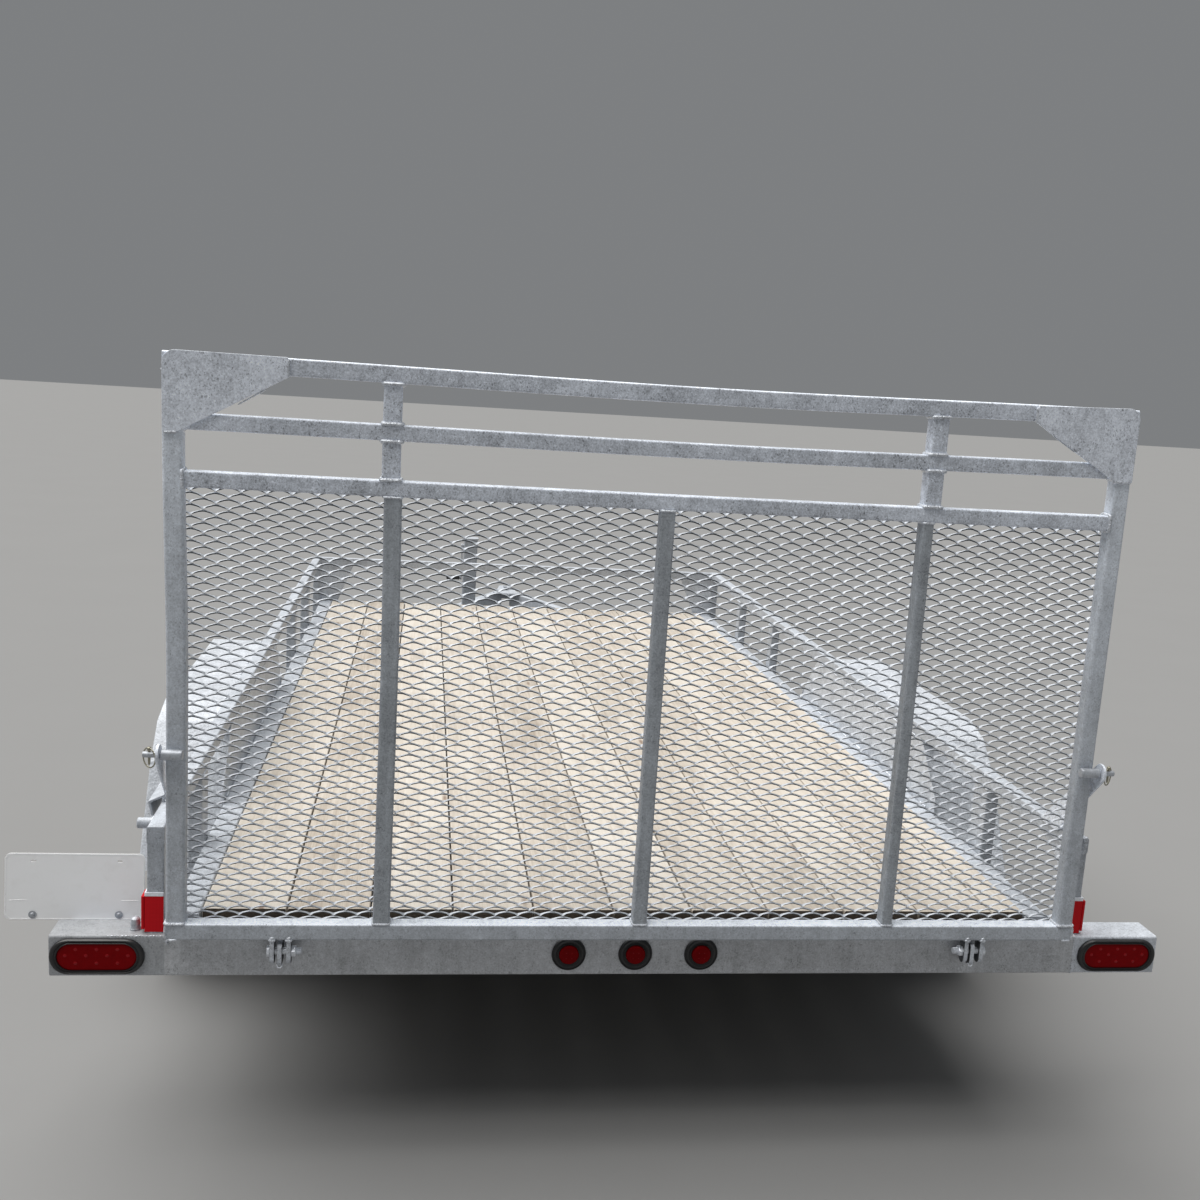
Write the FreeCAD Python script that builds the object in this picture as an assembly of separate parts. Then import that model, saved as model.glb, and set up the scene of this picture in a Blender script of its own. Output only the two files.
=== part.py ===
import FreeCAD, Part
import os
import math

os.makedirs("parts", exist_ok=True)
V = FreeCAD.Vector

# Galvanized tandem utility trailer with a wooden deck and a mesh ramp gate, parked on its jack.
# Everything is drawn with X = 0 on the centreline, Y = 0 on the rear beam's rear face and Z = 0 on the ground
# (+X right, +Y towards the coupler, +Z up), then moved by OFFSET so that the origin is on the ground under the
# middle of the whole object's box.

# ---------------------------------------------------------------- driving dimensions, mm
ZB = 430.0            # underside of the rear beam and of the floor frame

BEAM_W, BEAM_D, BEAM_H = 2590.0, 88.0, 93.0
BEAM_DROP = 3.0       # the rear beam hangs this far under the floor frame
LIGHT_BOX_X = 1093.0  # the ends of the beam past this are the light boxes
LIGHT_XS = [-1193.0, 1191.0]   # middle of each oval tail light
LIGHT_W, LIGHT_H = 201.5, 81.5
LENS_W, LENS_H = 169.5, 63.0
LENS_FRONT_Y = -6.0   # the lens sits behind the grommet's lip
MARKER_PITCH = 155.0
MARKER_R, MARKER_LENS_R = 38.0, 23.0

RAIL_X = 1093.0       # outer face of the side rails
RAIL_W, RAIL_H = 38.0, 40.0
RAIL_TOP = ZB + 337.0
RAIL_REAR_Y = 16.0
BED_FRONT_Y = 4108.0

MEMBER_X0, MEMBER_X1 = 993.0, 1055.0   # floor frame side members
MEMBER_TOP = ZB + 105.0
CROSS_W, CROSS_H = 60.0, 75.0
CROSS_YS = [300.0, 760.0, 1220.0, 1680.0, 2140.0, 2600.0, 3060.0, 3520.0, 3880.0]

DECK_TOP = ZB + 113.0
PLANK_T, PLANK_PITCH, PLANK_GAP = 38.0, 189.8, 4.0
DECK_X0, DECK_X1 = -987.5, 990.0
DECK_Y0, DECK_Y1 = 100.0, 4062.0

STAKE_W = 60.0
STAKE_YS = [2822.0, 3432.0]
WIDE_POST_Y0, WIDE_POST_Y1 = 500.0, 585.0

AXLE_MID_Y, AXLE_SPREAD = 1540.0, 800.0
TYRE_R, TYRE_W, TYRE_X = 331.0, 185.0, 1161.0
RIM_R = 178.0
FENDER_X = 1268.0
FENDER_T = 3.0
# fender profile from the middle of the flat top to one end: distance along Y from the middle, height over ZB
FENDER_PROFILE = [(0.0, 335.0), (430.0, 335.0), (545.0, 300.0), (640.0, 205.0), (755.0, 10.0), (795.0, -60.0)]
PANEL_TOP = 297.0
# fender wall profile: distance along Y from the middle, height over ZB
PANEL_PROFILE = [(555.0, 297.0), (700.0, 150.0), (708.0, 105.0), (708.0, 30.0)]

GATE_W, GATE_H = 2081.0, 1252.0
GATE_Y0 = -51.0                       # rear face of the gate
GATE_Z0 = ZB + 104.5
GATE_POST = 38.0
GATE_BAR = 38.0
# gate bars: name, low edge over ZB, high edge over ZB
GATE_BARS = [("bottom", 104.5, 141.5), ("third", 1083.0, 1120.0), ("second", 1200.0, 1237.0), ("top", 1318.0, 1358.0)]
# long uprights: middle along X at the foot, middle at the head, width along X
GATE_UPRIGHTS = [(-582.0, -589.0, 37.0), (-3.5, -3.5, 32.0), (579.5, 579.5, 26.0)]
GATE_SHORT_XS = [-593.0, 585.0]
HINGE_Y, HINGE_Z = -34.0, ZB + 73.0
# hinges: middle of the beam lug along X, the two gate lugs from it, side of the bolt's nut
HINGES = [(-799.0, -16.6, 19.5, 1), (797.5, -15.1, 22.6, -1)]
HINGE_BOLT_R = 8.0
HINGE_LUG_T, HINGE_LUG_TIP = 10.0, 28.0   # the gate lugs reach this far under the bolt
HINGE_FIT = 0.08
LATCH_Y, LATCH_Z = -64.0, ZB + 525.0
LATCH_X0, LATCH_X1 = 1049.0, 1055.0    # the latch brackets lie against the inner faces of the rails

# the tongue bars run under the front of the floor frame
TONGUE_REAR_X, TONGUE_NOSE_X = 897.0, 52.0
TONGUE_REAR_Y, TONGUE_NOSE_Y = 3490.0, 5190.0
TONGUE_W, TONGUE_H = 50.0, 90.0
TONGUE_Z = ZB - 90.0
COUPLER_NOSE_Y = 5410.0
BALL_Y, BALL_Z, BALL_R = 5345.0, TONGUE_Z + 42.0, 25.4

JACK_X, JACK_Y = -255.0, 4560.0
JACK_W, JACK_WALL = 76.0, 5.0
JACK_Z0, JACK_Z1 = ZB - 150.0, ZB + 405.0
LEG_W = 64.6
FOOT_W, FOOT_T = 150.0, 8.0
JACK_TRAVEL = 200.0

PLATE_X0, PLATE_W, PLATE_H = -1427.0, 304.8, 152.4
PLATE_Y, PLATE_Z = 133.0, ZB + 70.0
PLATE_T = 1.5
PLATE_BOLT_PITCH, PLATE_BOLT_Z, PLATE_HOLE_R = 188.0, ZB + 82.0, 3.5

BOX_REAR_Y = -86.0
OFFSET = V(-(PLATE_X0 + BEAM_W / 2.0) / 2.0, -(BOX_REAR_Y + COUPLER_NOSE_Y) / 2.0, 0.0)


# ---------------------------------------------------------------- helpers
def box(x0, x1, y0, y1, z0, z1):
    return Part.makeBox(x1 - x0, y1 - y0, z1 - z0, V(x0, y0, z0))


def rod(axis, r, p, length):
    d = {"x": V(1, 0, 0), "y": V(0, 1, 0), "z": V(0, 0, 1)}[axis]
    return Part.makeCylinder(r, length, V(*p), d)


def prism_x(pts, x0, x1):
    """Polygon of (y, z) points, pushed from x0 to x1."""
    w = Part.makePolygon([V(x0, y, z) for y, z in pts] + [V(x0, pts[0][0], pts[0][1])])
    return Part.Face(w).extrude(V(x1 - x0, 0, 0))


def prism_y(pts, y0, y1):
    """Polygon of (x, z) points, pushed from y0 to y1."""
    w = Part.makePolygon([V(x, y0, z) for x, z in pts] + [V(pts[0][0], y0, pts[0][1])])
    return Part.Face(w).extrude(V(0, y1 - y0, 0))


def prism_z(pts, z0, z1):
    """Polygon of (x, y) points, pushed from z0 to z1."""
    w = Part.makePolygon([V(x, y, z0) for x, y in pts] + [V(pts[0][0], pts[0][1], z0)])
    return Part.Face(w).extrude(V(0, 0, z1 - z0))


def oval(cx, cz, w, h, y0, y1):
    """Slot-shaped slab with round ends, long along X."""
    r = h / 2.0
    body = box(cx - w / 2 + r, cx + w / 2 - r, y0, y1, cz - r, cz + r)
    for s in (-1, 1):
        body = body.fuse(rod("y", r, (cx + s * (w / 2 - r), y0, cz), y1 - y0))
    return body.removeSplitter()


def mirror(shape):
    return shape.mirror(V(0, 0, 0), V(1, 0, 0))


def save(name, shapes):
    solids = []
    for s in shapes if isinstance(shapes, list) else [shapes]:
        solids += s.Solids
    out = solids[0] if len(solids) == 1 else Part.makeCompound(solids)
    out = out.copy()
    out.translate(OFFSET)
    assert out.isValid(), name
    out.exportStep("parts/%s.step" % name)


# ---------------------------------------------------------------- floor frame and deck
rear_beam = box(-BEAM_W / 2, BEAM_W / 2, 0, BEAM_D, ZB - BEAM_DROP, ZB + BEAM_H)
save("rear_beam", rear_beam)

member = box(MEMBER_X0, MEMBER_X1, BEAM_D, BED_FRONT_Y, ZB, MEMBER_TOP)
save("frame_side_right", member)
save("frame_side_left", mirror(member))

save("frame_front", box(-MEMBER_X0, MEMBER_X0, BED_FRONT_Y - 44, BED_FRONT_Y, ZB, MEMBER_TOP))
save("cross_members", [box(-MEMBER_X0, MEMBER_X0, y - CROSS_W / 2, y + CROSS_W / 2, ZB, ZB + CROSS_H) for y in CROSS_YS])

planks = []
x = DECK_X0
while x < DECK_X1 - 20:
    x1 = min(x + PLANK_PITCH - PLANK_GAP, DECK_X1)
    planks.append(box(x, x1, DECK_Y0, DECK_Y1, DECK_TOP - PLANK_T, DECK_TOP))
    x += PLANK_PITCH
save("deck_planks", planks)

# ---------------------------------------------------------------- side rails, posts and corner plates
rail = box(RAIL_X - RAIL_W, RAIL_X, RAIL_REAR_Y, BED_FRONT_Y, RAIL_TOP - RAIL_H, RAIL_TOP)
save("top_rail_right", rail)
save("top_rail_left", mirror(rail))
RAIL_IN = RAIL_X - RAIL_W
save("top_rail_front", box(-RAIL_IN, RAIL_IN, BED_FRONT_Y - RAIL_W, BED_FRONT_Y, RAIL_TOP - RAIL_H, RAIL_TOP))

posts = [box(RAIL_IN, RAIL_X, RAIL_REAR_Y, RAIL_REAR_Y + RAIL_W, ZB + BEAM_H, RAIL_TOP - RAIL_H)]
posts.append(box(RAIL_IN, RAIL_X, WIDE_POST_Y0, WIDE_POST_Y1, ZB, RAIL_TOP - RAIL_H))
for y in STAKE_YS:
    posts.append(box(RAIL_IN, RAIL_X, y - STAKE_W / 2, y + STAKE_W / 2, ZB, RAIL_TOP - RAIL_H))
posts.append(box(RAIL_IN, RAIL_X, BED_FRONT_Y - RAIL_W, BED_FRONT_Y, ZB, RAIL_TOP - RAIL_H))
save("side_posts_right", posts)
save("side_posts_left", [mirror(p) for p in posts])

# a folded lug with a round bar stub under it, outboard of the left rail near the gate
LUG_Y0, LUG_Y1 = 176.0, 312.0
STUB_Y, STUB_Z, STUB_R, STUB_L = 92.0, ZB + 318.0, 12.3, 35.0
# lug section (x, z over ZB): a leg on the rail, a sloping top and a folded outer flange
LUG_SECTION = [(-1123.0, 338.6), (-1087.0, 355.6), (-1087.0, 337.0), (-1092.0, 337.0), (-1092.0, 347.7), (-1117.2, 335.8), (-1110.1, 305.1), (-1115.0, 304.0)]
lug = prism_y([(x, ZB + z) for x, z in LUG_SECTION], LUG_Y0, LUG_Y1)
save("side_lug_left", [lug, rod("x", STUB_R, (-RAIL_X - STUB_L, STUB_Y, STUB_Z), STUB_L)])

# corner plates: front ones stand across the bed, rear ones lie along the side with a round cut-out
zr = RAIL_TOP - RAIL_H
front_gusset = prism_y([(RAIL_IN, zr), (885, zr), (965, MEMBER_TOP), (RAIL_IN, MEMBER_TOP)], BED_FRONT_Y - 22, BED_FRONT_Y - 17)
GUSSET = 165.0
gy = RAIL_REAR_Y + RAIL_W
rear_gusset = box(RAIL_X - 22, RAIL_X - 16, gy, gy + GUSSET, zr - GUSSET, zr)
rear_gusset = rear_gusset.cut(rod("x", GUSSET - 14, (RAIL_X - 40, gy + GUSSET, zr - GUSSET), 60))
save("corner_plates", [front_gusset, mirror(front_gusset), rear_gusset, mirror(rear_gusset)])

# ---------------------------------------------------------------- fenders
def fender_line(offset):
    """Profile points on both sides of the middle, moved in by offset along the local normal (down or inwards)."""
    pts = [(-y, z) for y, z in reversed(FENDER_PROFILE[1:])] + FENDER_PROFILE[1:]
    out = []
    for i, (y, z) in enumerate(pts):
        ns = []
        for a, b in ((i - 1, i), (i, i + 1)):
            if a >= 0 and b < len(pts):
                dy, dz = pts[b][0] - pts[a][0], pts[b][1] - pts[a][1]
                n = math.hypot(dy, dz)
                ns.append((dz / n, -dy / n))
        if len(ns) == 1:
            k = ns[0]
            out.append((y + k[0] * offset, z + k[1] * offset))
        else:
            sy, sz = ns[0][0] + ns[1][0], ns[0][1] + ns[1][1]
            d = sy * ns[0][0] + sz * ns[0][1]
            out.append((y + sy / d * offset, z + sz / d * offset))
    return [(AXLE_MID_Y + y, ZB + z) for y, z in out]


outer = fender_line(0.0)
inner = fender_line(FENDER_T)
lip = fender_line(28.0)
FENDER_IN = RAIL_IN + 3.0
sheet = prism_x(outer + inner[::-1], FENDER_IN, FENDER_X)
edge = prism_x(outer + lip[::-1], FENDER_X - FENDER_T, FENDER_X)
fender = sheet.fuse(edge).cut(box(RAIL_IN - 5, RAIL_X, RAIL_REAR_Y, BED_FRONT_Y, zr, RAIL_TOP + 5)).removeSplitter()
save("fender_right", fender)
save("fender_left", mirror(fender))

wall = [(AXLE_MID_Y - y, ZB + z) for y, z in PANEL_PROFILE[::-1]] + [(AXLE_MID_Y + y, ZB + z) for y, z in PANEL_PROFILE]
panel = prism_x(wall, RAIL_IN, RAIL_IN + 3.0).cut(sheet)
panel = max(panel.Solids, key=lambda s: s.Volume)
save("fender_walls", [panel, mirror(panel)])

# ---------------------------------------------------------------- running gear
AXLE_R = 30.0
HUB_Z = TYRE_R
spring_x = 1021.0
axle_ys = [AXLE_MID_Y - AXLE_SPREAD / 2, AXLE_MID_Y + AXLE_SPREAD / 2]
RIM_FACE = 26.0        # the wheel disc's plane, outboard of the tyre's middle
DRUM_R, DRUM_T = 105.0, 55.0
axles = []
for y in axle_ys:
    a = rod("x", AXLE_R, (-(TYRE_X - 60), y, HUB_Z), 2 * (TYRE_X - 60))
    for s in (-1, 1):
        a = a.fuse(rod("x", 19.0, (TYRE_X - 60 if s > 0 else -(TYRE_X + 20), y, HUB_Z), 80.0))
        x0 = TYRE_X - 70 if s > 0 else -(TYRE_X - 70) - 10
        a = a.fuse(rod("x", DRUM_R, (x0, y, HUB_Z), 10.0))
    axles.append(a.removeSplitter())
save("axles", axles)

# leaf springs: shallow arched packs above the axle tube, eyes at the hangers
SPRING_HALF = 330.0
springs = []
for y in axle_ys:
    z0 = HUB_Z + AXLE_R
    pack = []
    top = [(-SPRING_HALF, 42), (-200, 26), (0, 18), (200, 26), (SPRING_HALF, 42)]
    for n, half in enumerate((1.0, 0.72, 0.45)):
        t = 7.0
        pts = [(y + a * half, z0 + b * (half if n else 1.0) + 8 - n * t + (0 if n == 0 else (18 * (1 - half)))) for a, b in top]
        pack.append(prism_x(pts + [(a, b + t) for a, b in pts[::-1]], spring_x - 22, spring_x + 22))
    s = pack[0]
    for p in pack[1:]:
        s = s.fuse(p)
    s = s.fuse(box(spring_x - 26, spring_x + 26, y - 45, y + 45, z0, z0 + 34))
    s = s.fuse(rod("x", 13, (spring_x - 22, y - SPRING_HALF, z0 + 52), 44)).fuse(rod("x", 13, (spring_x - 22, y + SPRING_HALF, z0 + 52), 44))
    for e in (-1, 1):
        s = s.cut(rod("x", 8.1, (spring_x - 40, y + e * SPRING_HALF, z0 + 52), 80))
    springs.append(s.removeSplitter())
springs += [mirror(s) for s in springs]
save("leaf_springs", springs)

# hangers: two plates at each outer eye, and an equaliser between the springs
hangers = []
z0 = HUB_Z + AXLE_R + 52
for y in (axle_ys[0] - SPRING_HALF, axle_ys[1] + SPRING_HALF):
    h = box(spring_x - 30, spring_x - 24, y - 28, y + 28, z0 - 22, ZB).fuse(box(spring_x + 24, spring_x + 30, y - 28, y + 28, z0 - 22, ZB))
    h = h.fuse(box(spring_x - 30, spring_x + 30, y - 28, y + 28, ZB - 3, ZB)).fuse(rod("x", 8, (spring_x - 36, y, z0), 72))
    hangers.append(h.removeSplitter())
mid = AXLE_MID_Y
gap = AXLE_SPREAD / 2 - SPRING_HALF
e = box(spring_x - 30, spring_x - 24, mid - gap - 26, mid + gap + 26, z0 - 20, ZB).fuse(box(spring_x + 24, spring_x + 30, mid - gap - 26, mid + gap + 26, z0 - 20, ZB))
e = e.fuse(box(spring_x - 30, spring_x + 30, mid - gap - 26, mid + gap + 26, ZB - 3, ZB))
for s in (-1, 1):
    e = e.fuse(rod("x", 8, (spring_x - 36, mid + s * gap, z0), 72))
hangers.append(e.removeSplitter())
hangers += [mirror(h) for h in hangers]
save("spring_hangers", hangers)

# wheels: one tyre ring, one steel rim with its hub on each stub
def tyre_at(x, y):
    w, r, ri = TYRE_W / 2, TYRE_R, RIM_R
    # section: (distance along the axle from the middle, radius)
    sec = [(-w * 0.72, ri), (-w * 0.93, ri + 28), (-w, ri + 78), (-w * 0.94, r - 34), (-w * 0.80, r - 8), (-w * 0.62, r),
           (w * 0.62, r), (w * 0.80, r - 8), (w * 0.94, r - 34), (w, ri + 78), (w * 0.93, ri + 28), (w * 0.72, ri)]
    face = Part.Face(Part.makePolygon([V(x + a, y, HUB_Z + b) for a, b in sec + [sec[0]]]))
    return face.revolve(V(x, y, HUB_Z), V(1, 0, 0), 360)


def rim_at(x, y, s):
    w = TYRE_W / 2 * 0.76
    # rim barrel, dished disc and bearing hub in one welded steel wheel; s is +1 on the right
    sec = [(-w, RIM_R + 4), (-w + 1, RIM_R - 0.4), (w - 1, RIM_R - 0.4), (w, RIM_R + 4), (w + 3, RIM_R + 4), (w + 3, RIM_R - 8),
           (w - 18, RIM_R - 12), (w - 22, RIM_R - 24), (38, RIM_R - 30), (44, 118), (RIM_FACE + 4, 100), (RIM_FACE + 4, 44), (62, 38),
           (64, 0), (24, 0), (24, 21), (-30, 21), (-30, 40), (RIM_FACE - 6, 44), (RIM_FACE - 6, 102), (38, 120), (32, RIM_R - 34), (-w + 18, RIM_R - 18),
           (-w + 14, RIM_R - 8), (-w - 3, RIM_R - 8), (-w - 3, RIM_R + 4)]
    face = Part.Face(Part.makePolygon([V(x + s * a, y, HUB_Z + b) for a, b in sec + [sec[0]]]))
    return face.revolve(V(x, y, HUB_Z), V(1, 0, 0), 360)


# the stub ends inside the hub, with running clearance
for side, s in (("left", -1), ("right", 1)):
    for place, y in (("rear", axle_ys[0]), ("front", axle_ys[1])):
        save("tyre_%s_%s" % (side, place), tyre_at(s * TYRE_X, y))
        save("wheel_%s_%s" % (side, place), rim_at(s * TYRE_X, y, s))

# ---------------------------------------------------------------- tongue, coupler and jack
def tongue_bar(s):
    dx, dy = TONGUE_NOSE_X - TONGUE_REAR_X, TONGUE_NOSE_Y - TONGUE_REAR_Y
    n = math.hypot(dx, dy)
    nx, ny = -dy / n * TONGUE_W / 2, dx / n * TONGUE_W / 2
    # ends are cut square to the trailer
    k = TONGUE_W / 2 / (dy / n)
    pts = [(TONGUE_REAR_X - k, TONGUE_REAR_Y), (TONGUE_REAR_X + k, TONGUE_REAR_Y), (TONGUE_NOSE_X + k, TONGUE_NOSE_Y), (TONGUE_NOSE_X - k, TONGUE_NOSE_Y)]
    bar = prism_z(pts, TONGUE_Z, TONGUE_Z + TONGUE_H)
    return bar if s > 0 else mirror(bar)


save("tongue_right", tongue_bar(1))
save("tongue_left", tongue_bar(-1))

# coupler: a channel over the nose of the tongue, ending in a round ball cup
cz0, cz1 = TONGUE_Z + TONGUE_H, TONGUE_Z + TONGUE_H + 8
cup_r = 38.0
cup = rod("z", cup_r, (0, BALL_Y, BALL_Z - 6), 44).cut(Part.makeSphere(BALL_R + 0.6, V(0, BALL_Y, BALL_Z)))
cup = cup.cut(rod("z", BALL_R + 0.6, (0, BALL_Y, BALL_Z - 10), 10))
top = prism_z([(-78, TONGUE_NOSE_Y - 110), (78, TONGUE_NOSE_Y - 110), (36, BALL_Y - 6), (-36, BALL_Y - 6)], cz0, cz1)
nose = prism_z([(-74, TONGUE_NOSE_Y), (74, TONGUE_NOSE_Y), (34, BALL_Y - 24), (-34, BALL_Y - 24)], BALL_Z + 4, cz0)
nose = nose.cut(rod("z", BALL_R + 0.6, (0, BALL_Y, BALL_Z - 10), 10)).cut(Part.makeSphere(BALL_R + 0.6, V(0, BALL_Y, BALL_Z)))
tipcap = rod("z", cup_r, (0, BALL_Y, BALL_Z + 30), cz1 - BALL_Z - 30)
nose_tip = box(-20, 20, BALL_Y + 20, COUPLER_NOSE_Y, BALL_Z - 2, BALL_Z + 30).cut(Part.makeSphere(BALL_R + 0.6, V(0, BALL_Y, BALL_Z)))
coupler = cup.fuse(top).fuse(nose).fuse(tipcap).fuse(nose_tip).cut(Part.makeSphere(BALL_R + 0.6, V(0, BALL_Y, BALL_Z)))
coupler = coupler.cut(rod("z", BALL_R + 0.6, (0, BALL_Y, BALL_Z - 12), 12)).removeSplitter()
save("coupler", coupler)

latch = prism_x([(BALL_Y - 112, cz1), (BALL_Y - 30, cz1), (BALL_Y - 30, cz1 + 10), (BALL_Y - 96, cz1 + 22), (BALL_Y - 150, cz1 + 22), (BALL_Y - 150, cz1 + 15), (BALL_Y - 112, cz1 + 13)], -9, 9)
save("coupler_latch", latch)

# jack: a square outer tube on the inner side of the left tongue bar, with a side-wind crank and an inner leg
h = JACK_W / 2
hi = h - JACK_WALL
tube = box(JACK_X - h, JACK_X + h, JACK_Y - h, JACK_Y + h, JACK_Z0, JACK_Z1)
tube = tube.cut(box(JACK_X - hi, JACK_X + hi, JACK_Y - hi, JACK_Y + hi, JACK_Z0 - 1, JACK_Z1 - 60))
tube = tube.fuse(box(JACK_X - h - 5, JACK_X + h + 5, JACK_Y - h - 5, JACK_Y + h + 5, JACK_Z1, JACK_Z1 + 8)).removeSplitter()
save("jack_tube", tube)

# bracket: two flat plates from the jack's tube to the tongue bar
tx = lambda y: TONGUE_REAR_X + (TONGUE_NOSE_X - TONGUE_REAR_X) * (y - TONGUE_REAR_Y) / (TONGUE_NOSE_Y - TONGUE_REAR_Y)
kk = TONGUE_W / 2 / math.cos(math.atan2(TONGUE_REAR_X - TONGUE_NOSE_X, TONGUE_NOSE_Y - TONGUE_REAR_Y))
plates = []
for z in (TONGUE_Z + 4, TONGUE_Z + TONGUE_H - 12):
    y0, y1 = JACK_Y - h, JACK_Y + h
    plates.append(prism_z([(JACK_X - h, y0), (JACK_X - h, y1), (-(tx(y1) - kk), y1), (-(tx(y0) - kk), y0)], z, z + 8))
save("jack_bracket", plates)

leg = box(JACK_X - LEG_W / 2, JACK_X + LEG_W / 2, JACK_Y - LEG_W / 2, JACK_Y + LEG_W / 2, FOOT_T, JACK_Z1 - 60 - JACK_TRAVEL - 10)
save("jack_leg", leg)
save("jack_foot", box(JACK_X - FOOT_W / 2, JACK_X + FOOT_W / 2, JACK_Y - FOOT_W / 2, JACK_Y + FOOT_W / 2, 0, FOOT_T))

# crank: a shaft out of the tube's left side near the top, an arm down and a grip pointing out
cz = JACK_Z1 - 40
CRANK_GAP, CRANK_ARM, CRANK_T, GRIP_R, GRIP_L = 6.0, 185.0, 8.0, 13.0, 78.0
crank = rod("x", 9, (JACK_X - h - CRANK_GAP, JACK_Y, cz), CRANK_GAP)
crank = crank.fuse(box(JACK_X - h - CRANK_GAP - CRANK_T, JACK_X - h - CRANK_GAP, JACK_Y - 11, JACK_Y + 11, cz - CRANK_ARM - 12, cz + 12))
crank = crank.fuse(rod("x", GRIP_R, (JACK_X - h - CRANK_GAP - CRANK_T - GRIP_L, JACK_Y, cz - CRANK_ARM), GRIP_L))
save("jack_crank", crank.removeSplitter())

# ---------------------------------------------------------------- lights, reflectors and number plate
zl = ZB + (BEAM_H - BEAM_DROP) / 2
grommets, lenses = [], []
for x in LIGHT_XS:
    grommets.append(oval(x, zl, LIGHT_W, LIGHT_H, -9, 0).cut(oval(x, zl, LENS_W, LENS_H, -10, -3)))
    lenses.append(oval(x, zl, LENS_W - 1, LENS_H - 1, LENS_FRONT_Y, -3))
for k in (-1, 0, 1):
    g = rod("y", MARKER_R, (k * MARKER_PITCH, -8, zl + 5), 8).cut(rod("y", MARKER_LENS_R, (k * MARKER_PITCH, -10, zl + 5), 7))
    grommets.append(g)
    lenses.append(rod("y", MARKER_LENS_R - 0.5, (k * MARKER_PITCH, -13, zl + 5), 10))
save("light_grommets", grommets)
save("light_lenses", lenses)

refl = []
zt = ZB + 187
r = box(RAIL_IN, RAIL_X, RAIL_REAR_Y - 3, RAIL_REAR_Y, ZB + BEAM_H + 2, zt)
r = r.fuse(box(RAIL_X, RAIL_X + 10.6, RAIL_REAR_Y - 3, RAIL_REAR_Y + RAIL_W, ZB + BEAM_H + 2, zt)).removeSplitter()
save("reflectors", [r, mirror(r)])

px0, px1 = PLATE_X0, PLATE_X0 + PLATE_W
bracket = box(px0 + 40, px1 - 6, PLATE_Y + PLATE_T, PLATE_Y + PLATE_T + 4, PLATE_Z, PLATE_Z + 40)
bracket = bracket.fuse(box(-BEAM_W / 2 + 20, px1 - 6, BEAM_D, PLATE_Y + PLATE_T + 4, PLATE_Z - 5, PLATE_Z)).removeSplitter()
plate_holes = [rod("y", PLATE_HOLE_R, ((px0 + px1) / 2 + k * PLATE_BOLT_PITCH / 2, PLATE_Y - 5, PLATE_BOLT_Z), 20) for k in (-1, 1)]
for hole in plate_holes:
    bracket = bracket.cut(hole)
save("plate_bracket", bracket)
plate = box(px0, px1, PLATE_Y, PLATE_Y + PLATE_T, PLATE_Z, PLATE_Z + PLATE_H)
for hole in plate_holes:
    plate = plate.cut(hole)
save("number_plate", plate)

# ---------------------------------------------------------------- gate latches on the corner posts
def latch_plate(s):
    x0, x1 = LATCH_X0, LATCH_X1
    head = rod("x", 22, (x0, LATCH_Y, LATCH_Z), x1 - x0)
    arm = prism_x([(LATCH_Y - 16, LATCH_Z - 15), (RAIL_REAR_Y + 72, RAIL_TOP), (RAIL_REAR_Y + 82, RAIL_TOP - 10), (RAIL_REAR_Y + 170, RAIL_TOP - 10),
                   (RAIL_REAR_Y + 159, RAIL_TOP), (LATCH_Y + 15, LATCH_Z + 16)], x0, x1)
    p = head.fuse(arm).removeSplitter()
    p = p.cut(rod("x", 6.55, (x0 - 1, LATCH_Y, LATCH_Z), 10))
    return p if s > 0 else mirror(p)


save("latch_brackets", [latch_plate(1), latch_plate(-1)])

def pin(s):
    p = rod("x", 11.4, (1001, LATCH_Y, LATCH_Z), 45).fuse(rod("x", 6.5, (1046, LATCH_Y, LATCH_Z), 38))
    # the pull ring passes through the pin's outer end
    ring = Part.makeTorus(21, 2.2, V(1069, LATCH_Y + 19.8, LATCH_Z - 7), V(1, 0, 0))
    p = p.fuse(ring).removeSplitter()
    return p if s > 0 else mirror(p)


save("latch_pins", [pin(1), pin(-1)])

# ---------------------------------------------------------------- gate
gz = GATE_Z0
g2 = GATE_W / 2
bars = []
for name, z0, z1 in GATE_BARS:
    if name in ("bottom", "top"):
        bars.append(box(-g2, g2, GATE_Y0, GATE_Y0 + (GATE_POST if name == "bottom" else GATE_BAR), ZB + z0, ZB + z1))
    else:
        bars.append(box(-g2 + GATE_POST, g2 - GATE_POST, GATE_Y0, GATE_Y0 + GATE_BAR, ZB + z0, ZB + z1))
save("gate_bars", bars)
gposts = []
for s in (-1, 1):
    xa = s * g2 if s < 0 else s * g2 - GATE_POST
    gposts.append(box(xa, xa + GATE_POST, GATE_Y0, GATE_Y0 + GATE_POST, ZB + GATE_BARS[0][2], ZB + GATE_BARS[3][1]))
save("gate_posts", gposts)
ups = []
w = GATE_BAR / 2
for xa, xb, width in GATE_UPRIGHTS:
    z0, z1, h = ZB + GATE_BARS[0][2], ZB + GATE_BARS[1][1], width / 2
    ups.append(prism_y([(xa - h, z0), (xa + h, z0), (xb + h, z1), (xb - h, z1)], GATE_Y0, GATE_Y0 + GATE_BAR))
for xc in GATE_SHORT_XS:
    for a, b in ((1, 2), (2, 3)):
        ups.append(box(xc - w, xc + w, GATE_Y0, GATE_Y0 + GATE_BAR, ZB + GATE_BARS[a][2], ZB + GATE_BARS[b][1]))
save("gate_uprights", ups)

ym = GATE_Y0 + GATE_BAR
MESH_T = 7.0
save("gate_mesh", box(-g2 + GATE_POST, g2 - GATE_POST, ym, ym + MESH_T, ZB + GATE_BARS[0][2], ZB + 1110))

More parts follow.
